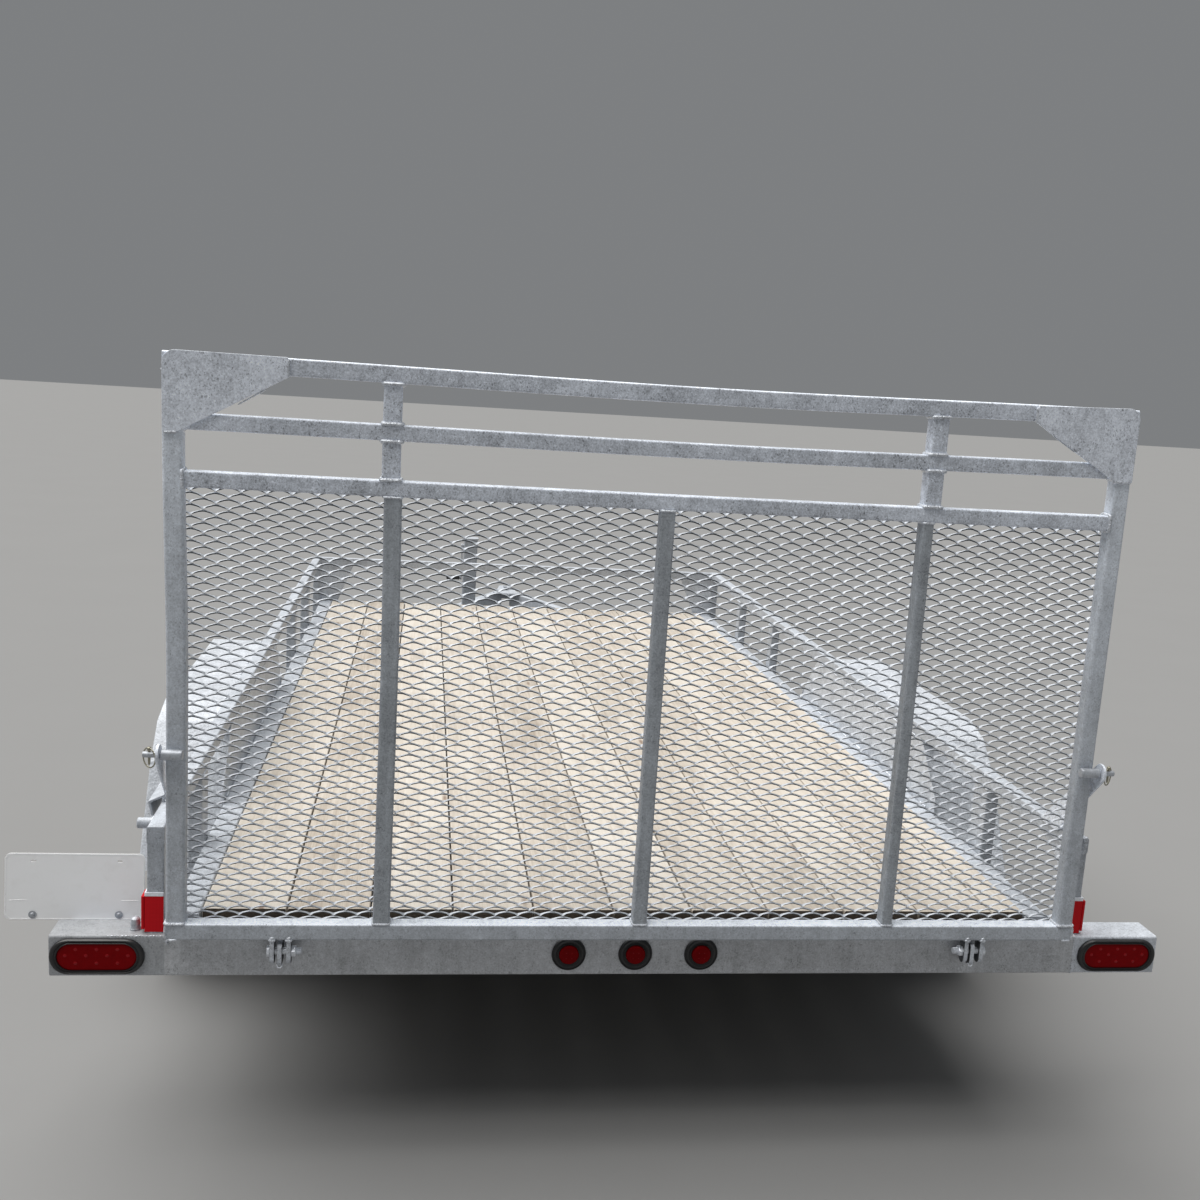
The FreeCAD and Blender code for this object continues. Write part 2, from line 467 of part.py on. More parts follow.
gp = prism_y([(-g2 - 3, ZB + 1360), (-804, ZB + 1359), (-804, ZB + 1317), (-1000, ZB + 1200), (-g2 - 3, ZB + 1196)], GATE_Y0 - 5, GATE_Y0)
save("gate_corner_plates", [gp, mirror(gp)])

# hinges: two gate lugs and one beam lug on a bolt, at each side
hl, hb, bolts = [], [], []
t = HINGE_LUG_T / 2
for xc, left, right, side in HINGES:
    zc = HINGE_Z - HINGE_LUG_TIP + 15
    for d in (left, right):
        l = box(xc + d - t, xc + d + t, HINGE_Y - 15, HINGE_Y + 15, zc, GATE_Z0).fuse(rod("x", 15, (xc + d - t, HINGE_Y, zc), 2 * t)).removeSplitter()
        hl.append(l.cut(rod("x", HINGE_BOLT_R, (xc + d - 10, HINGE_Y, HINGE_Z), 20)))
    lug = [(0, -31), (0, 21), (HINGE_Y - 6, 21), (HINGE_Y - 16, 11), (HINGE_Y - 16, -19), (HINGE_Y - 4, -31)]
    b = prism_x([(y, HINGE_Z + z) for y, z in lug], xc - t, xc + t)
    hb.append(b.cut(rod("x", HINGE_BOLT_R + HINGE_FIT, (xc - 10, HINGE_Y, HINGE_Z), 20)))
    # bolt: a head outside one gate lug, a nut and a free end outside the other
    x0, x1 = xc + left - t, xc + right + t
    head, nut, free = 7.0, 10.0, 12.0
    if side > 0:
        b = rod("x", HINGE_BOLT_R, (x0 - head, HINGE_Y, HINGE_Z), x1 - x0 + head + nut + free)
        b = b.fuse(rod("x", 13, (x0 - head, HINGE_Y, HINGE_Z), head)).fuse(rod("x", 13, (x1, HINGE_Y, HINGE_Z), nut))
    else:
        b = rod("x", HINGE_BOLT_R, (x0 - nut - free, HINGE_Y, HINGE_Z), x1 - x0 + head + nut + free)
        b = b.fuse(rod("x", 13, (x0 - nut, HINGE_Y, HINGE_Z), nut)).fuse(rod("x", 13, (x1, HINGE_Y, HINGE_Z), head))
    bolts.append(b.removeSplitter())
save("gate_hinge_lugs", hl)
save("beam_hinge_lugs", hb)
save("gate_hinge_bolts", bolts)
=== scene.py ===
import bpy
import bmesh
import math
import random
from mathutils import Vector, Matrix


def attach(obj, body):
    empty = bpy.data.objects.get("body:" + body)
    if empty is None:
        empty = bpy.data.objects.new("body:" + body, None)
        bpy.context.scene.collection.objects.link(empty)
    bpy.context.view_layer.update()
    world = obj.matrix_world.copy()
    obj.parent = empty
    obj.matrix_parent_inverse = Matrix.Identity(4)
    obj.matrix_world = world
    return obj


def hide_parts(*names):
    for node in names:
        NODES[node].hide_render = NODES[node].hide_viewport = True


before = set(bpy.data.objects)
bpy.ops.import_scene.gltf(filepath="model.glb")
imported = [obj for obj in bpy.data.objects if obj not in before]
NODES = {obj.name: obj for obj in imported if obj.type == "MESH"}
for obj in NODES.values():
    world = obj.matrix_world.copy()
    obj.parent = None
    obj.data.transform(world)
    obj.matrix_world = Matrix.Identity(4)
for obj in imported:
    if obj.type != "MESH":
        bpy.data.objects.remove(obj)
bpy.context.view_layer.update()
rnd = random.Random(7)

# All lengths below are millimetres in the trailer's own frame: x = 0 on the centreline, y = 0 on the rear beam's rear
# face, z = 0 at the beam's underside. W() turns a point into metres in the shared frame.
OX, OY, OZ = 66.0, -2662.0, 430.0
GROUND = -430.0


def W(p):
    return ((p[0] + OX) / 1000.0, (p[1] + OY) / 1000.0, (p[2] + OZ) / 1000.0)


# ------------------------------------------------------------------ material nodes
class Nodes:
    """A small writer of node trees: each call adds a node and returns its output socket."""

    def __init__(self, tree):
        self.t = tree

    def new(self, kind, **props):
        n = self.t.nodes.new(kind)
        for k, v in props.items():
            setattr(n, k, v)
        return n

    def put(self, socket, value):
        if isinstance(value, bpy.types.NodeSocket):
            self.t.links.new(value, socket)
        else:
            socket.default_value = value

    def coord(self):
        return self.new("ShaderNodeTexCoord").outputs["Object"]

    def scale(self, vec, s):
        n = self.new("ShaderNodeMapping")
        self.put(n.inputs["Vector"], vec)
        n.inputs["Scale"].default_value = s
        return n.outputs[0]

    def noise(self, vec, scale, detail=3.0, rough=0.55, dist=0.0, colour=False):
        n = self.new("ShaderNodeTexNoise")
        self.put(n.inputs["Vector"], vec)
        n.inputs["Scale"].default_value = scale
        n.inputs["Detail"].default_value = detail
        n.inputs["Roughness"].default_value = rough
        n.inputs["Distortion"].default_value = dist
        return n.outputs["Color" if colour else "Fac"]

    def voronoi(self, vec, scale, feature="F1", out="Color", rand=1.0):
        n = self.new("ShaderNodeTexVoronoi", feature=feature)
        self.put(n.inputs["Vector"], vec)
        n.inputs["Scale"].default_value = scale
        n.inputs["Randomness"].default_value = rand
        return n.outputs[out]

    def ramp(self, fac, stops, mode="LINEAR"):
        n = self.new("ShaderNodeValToRGB")
        r = n.color_ramp
        r.interpolation = mode
        while len(r.elements) < len(stops):
            r.elements.new(0.5)
        for e, (p, c) in zip(r.elements, stops):
            e.position = p
            e.color = (c, c, c, 1) if isinstance(c, (int, float)) else (*c, 1)
        self.put(n.inputs[0], fac)
        return n.outputs[0]

    def math(self, op, a, b=0.5, c=None, clamp=False):
        n = self.new("ShaderNodeMath", operation=op, use_clamp=clamp)
        self.put(n.inputs[0], a)
        self.put(n.inputs[1], b)
        if c is not None:
            self.put(n.inputs[2], c)
        return n.outputs[0]

    def mix(self, fac, a, b, mode="MIX"):
        n = self.new("ShaderNodeMix", data_type="RGBA", blend_type=mode)
        self.put(n.inputs[0], fac)
        self.put(n.inputs[6], a if isinstance(a, bpy.types.NodeSocket) else (*a, 1))
        self.put(n.inputs[7], b if isinstance(b, bpy.types.NodeSocket) else (*b, 1))
        return n.outputs[2]

    def lerp(self, fac, lo, hi):
        """fac 0..1 to lo..hi."""
        n = self.new("ShaderNodeMapRange")
        self.put(n.inputs[0], fac)
        n.inputs[3].default_value = lo
        n.inputs[4].default_value = hi
        return n.outputs[0]

    def bump(self, height, strength, dist, normal=None):
        n = self.new("ShaderNodeBump")
        n.inputs["Strength"].default_value = strength
        n.inputs["Distance"].default_value = dist
        self.put(n.inputs["Height"], height)
        if normal is not None:
            self.put(n.inputs["Normal"], normal)
        return n.outputs[0]

    def attr(self, name, out="Fac"):
        return self.new("ShaderNodeAttribute", attribute_name=name).outputs[out]

    def normal(self):
        return self.new("ShaderNodeTexCoord").outputs["Normal"]

    def split(self, vec):
        n = self.new("ShaderNodeSeparateXYZ")
        self.put(n.inputs[0], vec)
        return n.outputs


MATS = {}


def material(name):
    m = bpy.data.materials.new(name)
    m.use_nodes = True
    t = m.node_tree
    t.nodes.clear()
    n = Nodes(t)
    out = n.new("ShaderNodeOutputMaterial")
    s = n.new("ShaderNodeBsdfPrincipled")
    t.links.new(s.outputs[0], out.inputs[0])
    MATS[name] = m
    return n, s.inputs


def galvanized(name, tone=(0.42, 0.433, 0.447), contrast=1.0, metallic=0.12, rough=(0.44, 0.64), pebble=0.0, streak=0.22, speck=1.0, spangle=0.05, zgrad=None, top=1.0, sides=1.0, contact_shade=None):
    """Hot-dip zinc: soft clouds, faint crystal cells, dark flecks, pale blooms, vertical runs on upright faces.
    zgrad is (low z, high z, factor low, factor high) in metres, a painted light that brightens the zinc towards the
    top. top is the factor of upward faces, a painted highlight above 1 and painted shade below 1, and sides that of
    faces along x, painted shade in the gaps between parts. contact_shade is (x each side of the centreline, z, factor)
    of a painted shadow round a joint."""
    n, s = material(name)
    p = n.coord()
    cloud = n.noise(p, 11.0, 4.0, 0.6)
    patch = n.noise(p, 70.0, 3.0, 0.6, 0.3)
    fine = n.noise(p, 240.0, 3.0, 0.65)
    cell = n.split(n.voronoi(p, 130.0))[0]
    runs = n.noise(n.scale(p, (70.0, 70.0, 3.0)), 1.0, 2.0, 0.5)
    nor = n.split(n.normal())
    up = n.math("ABSOLUTE", nor[2])
    runs = n.math("MULTIPLY", n.math("SUBTRACT", runs, 0.5), n.math("SUBTRACT", 1.0, up))
    f = n.math("MULTIPLY_ADD", n.math("SUBTRACT", cloud, 0.5), 0.60 * contrast, 1.0)
    f = n.math("MULTIPLY_ADD", n.math("SUBTRACT", patch, 0.5), 0.42 * contrast, f)
    f = n.math("MULTIPLY_ADD", n.math("SUBTRACT", fine, 0.5), 0.80 * contrast, f)
    f = n.math("MULTIPLY_ADD", n.math("SUBTRACT", cell, 0.5), spangle * 2.0, f)
    f = n.math("MULTIPLY_ADD", runs, streak, f)
    flecks = n.ramp(n.noise(n.scale(p, (1.0, 1.0, 0.7)), 300.0, 2.0, 0.5, 0.8), [(0.58, 0.0), (0.64, 1.0)])
    flecks = n.math("MULTIPLY", flecks, n.ramp(n.noise(p, 30.0, 2.0), [(0.38, 0.25), (0.62, 1.0)]))
    f = n.math("MULTIPLY_ADD", flecks, -0.34 * speck, f)
    blooms = n.ramp(n.noise(p, 190.0, 3.0, 0.6, 0.6), [(0.60, 0.0), (0.68, 1.0)])
    f = n.math("MULTIPLY_ADD", blooms, 0.16 * contrast, f)
    # painted highlight: upward-facing faces are scaled by the top factor, lighter where it is above 1; where it is
    # below 1 the top is painted shade
    if top != 1.0:
        f = n.math("MULTIPLY", f, n.ramp(nor[2], [(0.45, 1.0 / 3.0), (0.85, top / 3.0)]))
        f = n.math("MULTIPLY", f, 3.0)
    # painted shade: faces along x are darkened by the sides factor, standing for the shade in the gaps between the
    # hinge lugs
    if sides != 1.0:
        f = n.math("MULTIPLY", f, n.ramp(n.math("ABSOLUTE", nor[0]), [(0.5, 1.0), (0.8, sides)]))
    # painted shadow: a dark patch on the face round each hinge joint, standing for the shade there
    if contact_shade:
        q = n.split(p)
        dx = n.math("SUBTRACT", n.math("ABSOLUTE", n.math("SUBTRACT", q[0], OX / 1000.0)), contact_shade[0])
        dz = n.math("SUBTRACT", q[2], contact_shade[1])
        d = n.math("SQRT", n.math("ADD", n.math("MULTIPLY", dx, dx), n.math("MULTIPLY", dz, dz)))
        f = n.math("MULTIPLY", f, n.ramp(n.math("MULTIPLY", d, 10.0), [(0.20, contact_shade[2]), (0.46, 1.0)]))
    # painted light: the colour brightens towards the top, standing for the greater sky light on the upper parts
    if zgrad:
        g = n.new("ShaderNodeMapRange", interpolation_type="SMOOTHSTEP")
        n.put(g.inputs[0], n.split(p)[2])
        for i, v in enumerate(zgrad):
            g.inputs[1 + i].default_value = v
        f = n.math("MULTIPLY", f, g.outputs[0])
    g = n.new("ShaderNodeVectorMath", operation="SCALE")
    g.inputs[0].default_value = (tone[0] * 0.968, tone[1], tone[2] * 1.06)
    n.put(g.inputs["Scale"], f)
    n.put(s["Base Color"], g.outputs[0])
    s["Metallic"].default_value = metallic
    r = n.math("MULTIPLY_ADD", n.math("SUBTRACT", cell, 0.5), 0.10, n.lerp(patch, rough[0], rough[1]))
    n.put(s["Roughness"], r)
    b = n.bump(n.noise(p, 330.0, 3.0, 0.6), 0.40, 0.0007)
    b = n.bump(cloud, 0.25, 0.004, b)
    if pebble:
        b = n.bump(n.voronoi(p, 150.0, "SMOOTH_F1", "Distance"), pebble, 0.0016, b)
    n.put(s["Normal"], b)
    return MATS[name]


def make_materials():
    galvanized("galv", tone=(0.447, 0.461, 0.474), top=1.12)
    # beam: painted shadow round the two hinges
    galvanized("galv_beam", tone=(0.533, 0.530, 0.522), contact_shade=(0.7985, 0.503, 0.50))
    # hinge lugs: faces along x darkened as painted shade between the lugs
    galvanized("galv_lug", tone=(0.56, 0.572, 0.585), contrast=1.3, sides=0.12, speck=1.2)
    # gate zinc in lit and shaded copies as painted light: the foot tube and posts brighten towards the top with
    # painted-highlight top faces, the upper bars and short uprights are a lighter copy, the long uprights a darker one
    galvanized("galv_gate", tone=(0.466, 0.483, 0.498), zgrad=(0.75, 1.65, 1.0, 1.45), top=2.0)
    galvanized("galv_bar", tone=(0.63, 0.65, 0.68), contrast=1.75, speck=1.6, top=1.45)
    galvanized("galv_upright", tone=(0.364, 0.380, 0.390), contrast=1.3, streak=0.5)
    # left lamp box: a darker copy of the box zinc with a darker top, painted shade
    galvanized("galv_box_left", tone=(0.405, 0.408, 0.405), top=0.80, contrast=0.8, pebble=0.2, streak=0.5)
    galvanized("galv_box", tone=(0.60, 0.615, 0.63), contrast=1.0, pebble=0.25)
    galvanized("galv_fender", tone=(0.56, 0.572, 0.583), contrast=1.2, pebble=0.55, rough=(0.42, 0.64))
    # expanded mesh as painted light: rising strands lighter and brighter towards the top, falling strands a darker
    # copy, undersides near black as painted shade
    galvanized("galv_mesh", tone=(0.62, 0.635, 0.65), contrast=0.5, speck=0.2, streak=0.0, zgrad=(0.85, 1.45, 1.0, 1.4))
    galvanized("galv_mesh_shaded", tone=(0.46, 0.475, 0.49), contrast=0.5, speck=0.2, streak=0.0, zgrad=(0.85, 1.45, 1.0, 1.4))
    galvanized("galv_mesh_underside_shade", tone=(0.045, 0.051, 0.057), contrast=0.5, speck=0.2, streak=0.0)
    galvanized("galv_weld", tone=(0.60, 0.61, 0.62), contrast=1.6, metallic=0.30, rough=(0.34, 0.55), speck=1.4, streak=0.0, top=1.4)
    galvanized("galv_plate", tone=(0.765, 0.785, 0.815), contrast=1.4, pebble=0.12, speck=1.5, top=1.2)
    galvanized("galv_band", tone=(0.90, 0.90, 0.90), contrast=0.3, speck=0.2, streak=0.0)
    galvanized("zinc_bright", tone=(0.82, 0.83, 0.84), contrast=0.6, metallic=0.45, rough=(0.28, 0.42), streak=0.0, speck=0.5, top=1.15)
    galvanized("zinc", tone=(0.46, 0.47, 0.48), contrast=0.8, metallic=0.40, rough=(0.36, 0.52), streak=0.0, speck=0.8)
    galvanized("zinc_yellow", tone=(0.30, 0.275, 0.20), contrast=1.0, metallic=0.55, rough=(0.28, 0.45), streak=0.0, speck=0.8)

    # planks: pale dried softwood, grain along y, small knots and grey-brown smudges; "plank" is a random value per plank
    n, s = material("wood")
    p = n.coord()
    seed = n.attr("plank", "Vector")
    off = n.new("ShaderNodeVectorMath", operation="MULTIPLY_ADD")
    n.put(off.inputs[0], seed)
    off.inputs[1].default_value = (3.0, 31.0, 5.0)
    n.put(off.inputs[2], p)
    q = off.outputs[0]
    warp = n.noise(n.scale(q, (5.0, 1.1, 5.0)), 1.0, 2.0, 0.5, 0.0, True)
    wv = n.new("ShaderNodeVectorMath", operation="MULTIPLY_ADD")
    n.put(wv.inputs[0], warp)
    wv.inputs[1].default_value = (0.05, 0.0, 0.05)
    n.put(wv.inputs[2], q)
    grain = n.noise(n.scale(wv.outputs[0], (95.0, 1.6, 95.0)), 1.0, 4.0, 0.62)
    fine = n.noise(n.scale(q, (620.0, 9.0, 620.0)), 1.0, 2.0, 0.6)
    cloud = n.noise(n.scale(q, (6.0, 2.4, 6.0)), 1.0, 4.0, 0.6)
    knot = n.voronoi(n.scale(q, (8.5, 1.9, 1.0)), 1.0, "F1", "Distance")
    tone = n.math("MULTIPLY_ADD", n.math("SUBTRACT", grain, 0.5), 0.75, 0.5)
    tone = n.math("MULTIPLY_ADD", n.math("SUBTRACT", fine, 0.5), 0.45, tone)
    tone = n.math("MULTIPLY_ADD", n.math("SUBTRACT", cloud, 0.5), 0.85, tone)
    tone = n.math("MULTIPLY_ADD", n.math("SUBTRACT", n.split(seed)[0], 0.5), 0.34, tone)
    col = n.ramp(tone, [(0.0, (0.288, 0.235, 0.183)), (0.30, (0.44, 0.389, 0.327)), (0.55, (0.552, 0.501, 0.434)), (0.85, (0.624, 0.590, 0.532))])
    kn = n.ramp(knot, [(0.035, 1.0), (0.085, 0.0)])
    col = n.mix(n.math("MULTIPLY", kn, 0.75), col, (0.16, 0.085, 0.045))
    dirt = n.ramp(n.noise(n.scale(q, (9.0, 4.5, 9.0)), 1.0, 5.0, 0.65), [(0.54, 0.0), (0.72, 1.0)])
    col = n.mix(n.math("MULTIPLY", dirt, 0.42), col, (0.24, 0.212, 0.18))
    # plank end faces painted very dark: end grain, darkened further as painted shade
    end = n.math("GREATER_THAN", n.math("ABSOLUTE", n.split(n.normal())[1]), 0.8)
    rings = n.noise(n.scale(q, (130.0, 1.0, 260.0)), 1.0, 3.0, 0.6)
    col = n.mix(end, col, n.ramp(rings, [(0.3, (0.06, 0.045, 0.032)), (0.7, (0.13, 0.10, 0.072))]))
    n.put(s["Base Color"], col)
    n.put(s["Roughness"], n.lerp(grain, 0.72, 0.92))
    b = n.bump(grain, 0.35, 0.0016)
    b = n.bump(fine, 0.30, 0.0005, b)
    n.put(s["Normal"], b)

    n, s = material("tyre")
    p = n.coord()
    dust = n.ramp(n.noise(p, 24.0, 4.0, 0.6), [(0.42, 0.0), (0.75, 1.0)])
    col = n.mix(n.math("MULTIPLY", dust, 0.6), (0.014, 0.014, 0.015), (0.050, 0.047, 0.043))
    n.put(s["Base Color"], col)
    n.put(s["Roughness"], n.lerp(dust, 0.62, 0.90))
    n.put(s["Normal"], n.bump(n.noise(p, 420.0, 3.0), 0.25, 0.0005))

    n, s = material("rim_silver")
    p = n.coord()
    f = n.noise(p, 30.0, 3.0)
    n.put(s["Base Color"], n.mix(f, (0.52, 0.53, 0.54), (0.66, 0.67, 0.68)))
    s["Metallic"].default_value = 0.8
    n.put(s["Roughness"], n.lerp(n.noise(p, 150.0, 2.0), 0.24, 0.40))
    s["Coat Weight"].default_value = 0.3
    n.put(s["Normal"], n.bump(n.noise(p, 700.0, 2.0), 0.12, 0.0003))

    n, s = material("lens_red")
    p = n.coord()
    grid = n.voronoi(n.scale(p, (1.0, 0.0, 1.0)), 260.0, "F1", "Distance", 0.0)
    depth = n.noise(p, 60.0, 2.0)
    n.put(s["Base Color"], n.mix(depth, (0.150, 0.0006, 0.0018), (0.225, 0.0012, 0.0030)))
    s["Roughness"].default_value = 0.34
    s["Specular IOR Level"].default_value = 0.05
    n.put(s["Normal"], n.bump(grid, 0.20, 0.0006))

    n, s = material("lens_led")
    p = n.coord()
    n.put(s["Base Color"], n.mix(n.noise(p, 300.0, 2.0), (0.24, 0.003, 0.006), (0.31, 0.006, 0.010)))
    s["Roughness"].default_value = 0.28
    s["Specular IOR Level"].default_value = 0.18
    n.put(s["Normal"], n.bump(n.noise(p, 500.0, 1.0), 0.1, 0.0002))

    n, s = material("reflector_red")
    p = n.coord()
    hexes = n.voronoi(p, 330.0, "F1", "Distance", 0.0)
    n.put(s["Base Color"], n.mix(n.ramp(hexes, [(0.1, 0.0), (0.5, 1.0)]), (0.70, 0.009, 0.018), (0.52, 0.005, 0.010)))
    s["Roughness"].default_value = 0.34
    s["Specular IOR Level"].default_value = 0.12
    n.put(s["Normal"], n.bump(hexes, 0.4, 0.0004))

    n, s = material("grommet")
    p = n.coord()
    n.put(s["Base Color"], n.mix(n.noise(p, 90.0, 3.0), (0.007, 0.007, 0.008), (0.017, 0.017, 0.018)))
    n.put(s["Roughness"], n.lerp(n.noise(p, 200.0, 2.0), 0.34, 0.50))
    s["Specular IOR Level"].default_value = 0.55
    n.put(s["Normal"], n.bump(n.noise(p, 600.0, 2.0), 0.15, 0.0003))

    n, s = material("plate_white")
    p = n.coord()
    grime = n.ramp(n.noise(p, 30.0, 4.0, 0.62), [(0.50, 0.0), (0.80, 1.0)])
    n.put(s["Base Color"], n.mix(n.math("MULTIPLY", grime, 0.30), (0.965, 0.975, 0.985), (0.76, 0.76, 0.75)))
    s["Roughness"].default_value = 0.34
    s["Coat Weight"].default_value = 0.35
    n.put(s["Normal"], n.bump(n.noise(p, 160.0, 2.0), 0.10, 0.0006))

    n, s = material("dark_steel")
    p = n.coord()
    rust = n.ramp(n.noise(p, 42.0, 5.0, 0.65), [(0.52, 0.0), (0.70, 1.0)])
    n.put(s["Base Color"], n.mix(rust, (0.045, 0.046, 0.048), (0.115, 0.075, 0.052)))
    s["Metallic"].default_value = 0.35
    n.put(s["Roughness"], n.lerp(rust, 0.48, 0.80))
    n.put(s["Normal"], n.bump(n.noise(p, 260.0, 3.0), 0.3, 0.0008))

    n, s = material("grip_black")
    p = n.coord()
    n.put(s["Base Color"], n.mix(n.noise(p, 70.0, 3.0), (0.016, 0.016, 0.017), (0.036, 0.036, 0.037)))
    n.put(s["Roughness"], n.lerp(n.noise(p, 160.0, 2.0), 0.40, 0.58))
    n.put(s["Normal"], n.bump(n.noise(n.scale(p, (900.0, 60.0, 60.0)), 1.0, 1.0), 0.2, 0.0004))

    n, s = material("stage_floor")
    p = n.coord()
    n.put(s["Base Color"], n.mix(n.noise(p, 1.4, 3.0), (0.240, 0.240, 0.239), (0.250, 0.250, 0.249)))
    s["Roughness"].default_value = 0.9
    s["Specular IOR Level"].default_value = 0.15
    n.put(s["Normal"], n.bump(n.noise(p, 120.0, 2.0), 0.03, 0.001))


# ------------------------------------------------------------------ mesh kit, millimetres
class Geo:
    def __init__(self):
        self.v, self.f, self.m = [], [], []

    def add(self, verts, faces, mi=0):
        k = len(self.v)
        self.v += [tuple(p) for p in verts]
        self.f += [tuple(k + i for i in f) for f in faces]
        self.m += [mi] * len(faces)


def rrect(w, h, r, seg=3):
    r = max(0.01, min(r, w / 2 - 0.01, h / 2 - 0.01))
    pts = []
    for cx, cy, a0 in ((w / 2 - r, h / 2 - r, 0), (-w / 2 + r, h / 2 - r, 90), (-w / 2 + r, -h / 2 + r, 180), (w / 2 - r, -h / 2 + r, 270)):
        for i in range(seg + 1):
            a = math.radians(a0 + 90.0 * i / seg)
            pts.append((cx + r * math.cos(a), cy + r * math.sin(a)))
    return pts


def stadium(w, h, n=10):
    """Round-ended slot outline, long along the first axis."""
    r, c = h / 2.0, w / 2.0 - h / 2.0
    pts = [(c + r * math.cos(a), r * math.sin(a)) for a in [math.pi * (i / n - 0.5) for i in range(n + 1)]]
    return pts + [(-p, -q) for p, q in pts]


def loft(g, rings, caps=True, closed=False, mi=0):
    n, m = len(rings[0]), len(rings)
    faces = []
    for j in range(m if closed else m - 1):
        k = (j + 1) % m
        for i in range(n):
            i2 = (i + 1) % n
            faces.append((j * n + i, j * n + i2, k * n + i2, k * n + i))
    if caps and not closed:
        faces.append(tuple(range(n))[::-1])
        faces.append(tuple((m - 1) * n + i for i in range(n)))
    g.add([p for r in rings for p in r], faces, mi)


def place(axis, a, p, q):
    """Point at a along the axis, p and q along the other two."""
    return {"x": (a, p, q), "y": (p, a, q), "z": (p, q, a)}[axis]


def tube(g, axis, lo, hi, c1, c2, w, h, r=5.0, e=1.0, seg=3, mi=0, cuts=0):
    """Square tube with rounded corners and eased ends; c1, c2, w, h run along the other two axes in x, y, z order."""
    rings = []
    mids = [(lo + (hi - lo) * (i + 1) / (cuts + 1), 0.0) for i in range(cuts)]
    for a, k in [(lo, e), (lo + e, 0.0)] + mids + [(hi - e, 0.0), (hi, e)]:
        rings.append([place(axis, a, c1 + p, c2 + q) for p, q in rrect(w - 2 * k, h - 2 * k, r - k * 0.5, seg)])
    loft(g, rings, mi=mi)


def tube_box(g, axis, x0, x1, y0, y1, z0, z1, r=5.0, e=1.0, seg=3, mi=0, cuts=0):
    if axis == "x":
        tube(g, "x", x0, x1, (y0 + y1) / 2, (z0 + z1) / 2, y1 - y0, z1 - z0, r, e, seg, mi, cuts)
    elif axis == "y":
        tube(g, "y", y0, y1, (x0 + x1) / 2, (z0 + z1) / 2, x1 - x0, z1 - z0, r, e, seg, mi, cuts)
    else:
        tube(g, "z", z0, z1, (x0 + x1) / 2, (y0 + y1) / 2, x1 - x0, y1 - y0, r, e, seg, mi, cuts)


def box(g, x0, x1, y0, y1, z0, z1, mi=0):
    v = [(x, y, z) for x in (x0, x1) for y in (y0, y1) for z in (z0, z1)]
    g.add(v, [(0, 1, 3, 2), (4, 6, 7, 5), (0, 4, 5, 1), (2, 3, 7, 6), (0, 2, 6, 4), (1, 5, 7, 3)], mi)


def slab(g, axis, outline, a0, a1, mi=0):
    """Polygon pushed along an axis."""
    n = len(outline)
    v = [place(axis, a0, p, q) for p, q in outline] + [place(axis, a1, p, q) for p, q in outline]
    f = [(i, (i + 1) % n, n + (i + 1) % n, n + i) for i in range(n)]
    g.add(v, f + [tuple(range(n))[::-1], tuple(range(n, 2 * n))], mi)


def lathe(g, axis, centre, prof, seg=24, mi=0, a0=0.0, warp=None):
    """Closed profile of (distance along the axis, radius), turned about the axis through centre (x, y, z)."""
    c = Vector(centre)
    rings = []
    for i in range(seg):
        t = a0 + 2 * math.pi * i / seg
        ring = []
        for a, r in prof:
            p, q = r * math.cos(t), r * math.sin(t)
            d = Vector({"x": (a, p, q), "y": (p, a, q), "z": (p, q, a)}[axis])
            ring.append(tuple(c + d))
        rings.append(ring)
    n, m = len(prof), seg
    faces = []
    for j in range(m):
        k = (j + 1) % m
        for i in range(n - 1):
            faces.append((j * n + i, j * n + i + 1, k * n + i + 1, k * n + i))
    g.add([p for r in rings for p in r], faces, mi)


def sweep(g, pts, radius, sides=8, closed=False, mi=0, flat=1.0):
    """Round bar along points; radius is a number or a function of the point's number."""
    pts = [Vector(p) for p in pts]
    n = len(pts)
    rad = radius if callable(radius) else (lambda i: radius)
    t0 = (pts[1] - pts[0]).normalized()
    u = t0.orthogonal().normalized()
    rings = []
    for i in range(n):
        a = pts[(i - 1) % n] if (i or closed) else pts[0]
        b = pts[(i + 1) % n] if (i < n - 1 or closed) else pts[-1]
        t = (b - a).normalized()
        u = (u - t * u.dot(t)).normalized()
        w = t.cross(u)
        r = rad(i)
        rings.append([tuple(pts[i] + (u * math.cos(s) + w * math.sin(s) * flat) * r) for s in [2 * math.pi * k / sides for k in range(sides)]])
    loft(g, rings, caps=not closed, closed=closed, mi=mi)


def resample(pts, step, closed=False):
    pts = [Vector(p) for p in pts]
    if closed:
        pts = pts + [pts[0]]
    out, carry = [], 0.0
    total = sum((b - a).length for a, b in zip(pts, pts[1:]))
    k = max(2, int(round(total / step)))
    step = total / k
    want, walked = 0.0, 0.0
    for a, b in zip(pts, pts[1:]):
        d = (b - a).length
        while want <= walked + d + 1e-6 and len(out) < k + (0 if closed else 1):
            out.append(a.lerp(b, (want - walked) / d if d else 0.0))
            want += step
        walked += d
    return out


